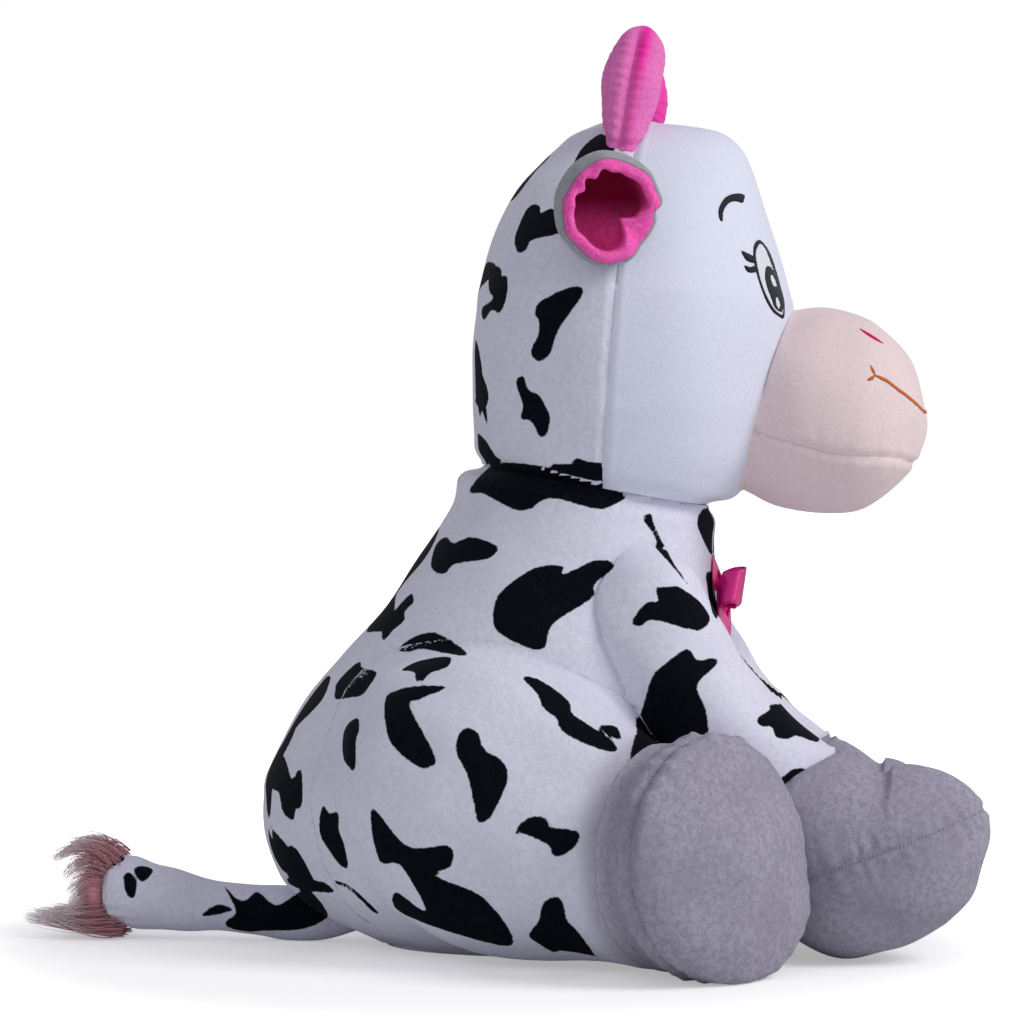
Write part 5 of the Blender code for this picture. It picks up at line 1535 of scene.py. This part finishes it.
def sewPatch(name, lines, proud, material, tree, side):
    # a filled shape of thread with closed sides
    loop = smoothLoop(lines, sewing["steps"])
    low, high = loop.min(axis=0), loop.max(axis=0)
    inner = [Vector((x, y)) for x in np.arange(low[0], high[0], sewing["gridAcross"])
             for y in np.arange(low[1], high[1], sewing["gridDown"])]
    inner = [spot for spot in inner if np.hypot(*(loop - np.array(spot)).T).min() > sewing["clear"]]
    flat, _, faces, _, _, _ = delaunay_2d_cdt([Vector(spot) for spot in loop] + inner, [],
                                              [list(range(len(loop)))], 1, .001)
    depth = np.linalg.norm(shotStand()) - sewing["patchBefore"]
    laid = [onCloth(tree, spot, side, depth) for spot in flat]
    edges = dict.fromkeys(edge for face in faces for edge in zip(face, list(face[1:]) + [face[0]]))
    rim = [edge for edge in edges if edge[::-1] not in edges]
    onRim = {index for edge in rim for index in edge}
    top = [spot + normal * proud * (sewing["edge"] if index in onRim else 1)
           for index, (spot, normal) in enumerate(laid)]
    bottom = [spot - normal * sewing["under"] for spot, normal in laid]
    count = len(top)
    solid = [tuple(face) for face in faces] + [tuple(index + count for index in face[::-1]) for face in faces]
    solid += [(second, first, first + count, second + count) for first, second in rim]
    return makePiece(name, top + bottom, solid, material)


def sewLine(name, places, outward):
    # a laid cord of the mouth: rounded across, closed at its ends
    places, outward = np.array(places), unit(np.array(outward))
    along = unit(np.gradient(places, axis=0))
    across = unit(np.cross(outward, along))
    points, (wide, high) = [], sewing["mouth"]
    count, rings = sewing["round"], len(places)
    for ring in range(rings):
        small = sewing["tip"] if ring in (0, rings - 1) else 1
        for step in range(count):
            turn = 2 * math.pi * step / count
            points.append(places[ring] + across[ring] * math.cos(turn) * wide * small
                          + outward[ring] * math.sin(turn) * high * small)
    faces = ringFaces(rings, count)
    faces += [tuple(range(count))[::-1], tuple(range((rings - 1) * count, rings * count))]
    return makePiece(name, points, faces, thread["orange"])


faceTree, noseTree = clothTree(faceCover), clothTree(muzzleUpper)
sewnPieces = []
for sideName, side in sides:
    for name, proud, colour in stitchedOrder:
        tree = noseTree if name == "nostril" else faceTree
        sewnPieces.append(sewPatch(name + "_" + sideName, stitchedLines[name], proud, thread[colour], tree, side))
laid = {side: [[onCloth(noseTree, pixel, side, sewing["mouthDepth"]) for pixel in line] for line in mouthLines]
        for side in (1, -1)}
near, far = laid[1][0], laid[-1][0]
between = []
for share in np.linspace(0, 1, sewing["betweenSteps"])[1:-1]:
    spot = near[-1][0] * (1 - share) + far[-1][0] * share
    hit, outward, _, _ = noseTree.ray_cast(Vector((spot[0], -1, spot[2])), Vector((0, 1, 0)))
    between.append((np.array(hit), np.array(outward)))
sewnPieces.append(sewLine("mouth", *zip(*(near + between + far[::-1]))))
for sideName, side in sides:
    for index, line in enumerate(laid[side][1:]):
        sewnPieces.append(sewLine("mouthEnd%d_%s" % (index, sideName), *zip(*line)))
print("face is sewn")

# What moves with what

# a reach from each limb's joint, handed to wear with its cloth; the cloth is not bent by it
bending = {"neck": .028, "ear": .018, "leg": (.13, .02, 0), "arm": (.05, 0, -.05), "tail": (-.03, 0, 0)}

wear(torsoCover, "head", ["torso_cover", "torso_filling"],
     bend=("torso", neckPlace - neckNormal * bending["neck"], neckPlace))
wear(seatPanel, "torso", ["seat_panel"])
wear(headHood, "head", ["head_back_cover", "head_filling"])
wear(faceCover, "head", ["face_cover"])
wear(muzzleUpper, "head", ["muzzle_upper_cover", "muzzle_filling"])
wear(muzzleLower, "head", ["muzzle_lower_cover"])
for sideName, back, front in hornPieces:
    wear(back, "head", ["horn_back_cover_" + sideName, "horn_filling_" + sideName])
    wear(front, "head", ["horn_front_cover_" + sideName])
for sideName, root, axis, outer, lining in earPieces:
    bend = ("head", root, root + axis * bending["ear"])
    wear(outer, "ear_" + sideName, ["ear_outer_" + sideName], bend)
    wear(lining, "ear_" + sideName, ["ear_lining_" + sideName], bend)
for sideName, side, hip, shoulder, thigh, band, sole, sleeve, hoofTop, hoofBottom in limbPieces:
    limbBody = "leg_" + sideName
    wear(thigh, limbBody, ["leg_cover_" + sideName, "leg_filling_" + sideName],
         bend=("torso", hip, hip + heading(*bending["leg"], side)))
    wear(band, limbBody, ["leg_hoof_side_" + sideName])
    wear(sole, limbBody, ["leg_sole_" + sideName])
    limbBody = "arm_" + sideName
    wear(sleeve, limbBody, ["arm_cover_" + sideName, "arm_filling_" + sideName],
         bend=("torso", shoulder, shoulder + heading(*bending["arm"], side)))
    wear(hoofTop, limbBody, ["arm_hoof_top_" + sideName])
    wear(hoofBottom, limbBody, ["arm_hoof_bottom_" + sideName])
wear(tailCover, "tail", ["tail_cover", "tail_filling"],
     bend=("torso", tailRoot, tailRoot + heading(*bending["tail"])))
wear(tailTuft, "tail", ["tail_tuft"])
loose = [(tuftStrands, "tuft_fibre", "tail")]
loose += [(piece, "hoof_plush", bodyName) for bodyName, piece in stitchPieces]
loose += [(piece, "muzzle_plush" if piece.name[:5] in ("nostr", "mouth") else "face_plush", "head")
          for piece in sewnPieces]
for piece, slot, bodyName in loose:
    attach(piece, bodyName)
for piece, node in bowPieces:
    wear(piece, "torso", [node])
for form in (torsoForm, headForm):
    drop(form)

bpy.context.view_layer.update()
low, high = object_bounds()
print("cow is dressed")
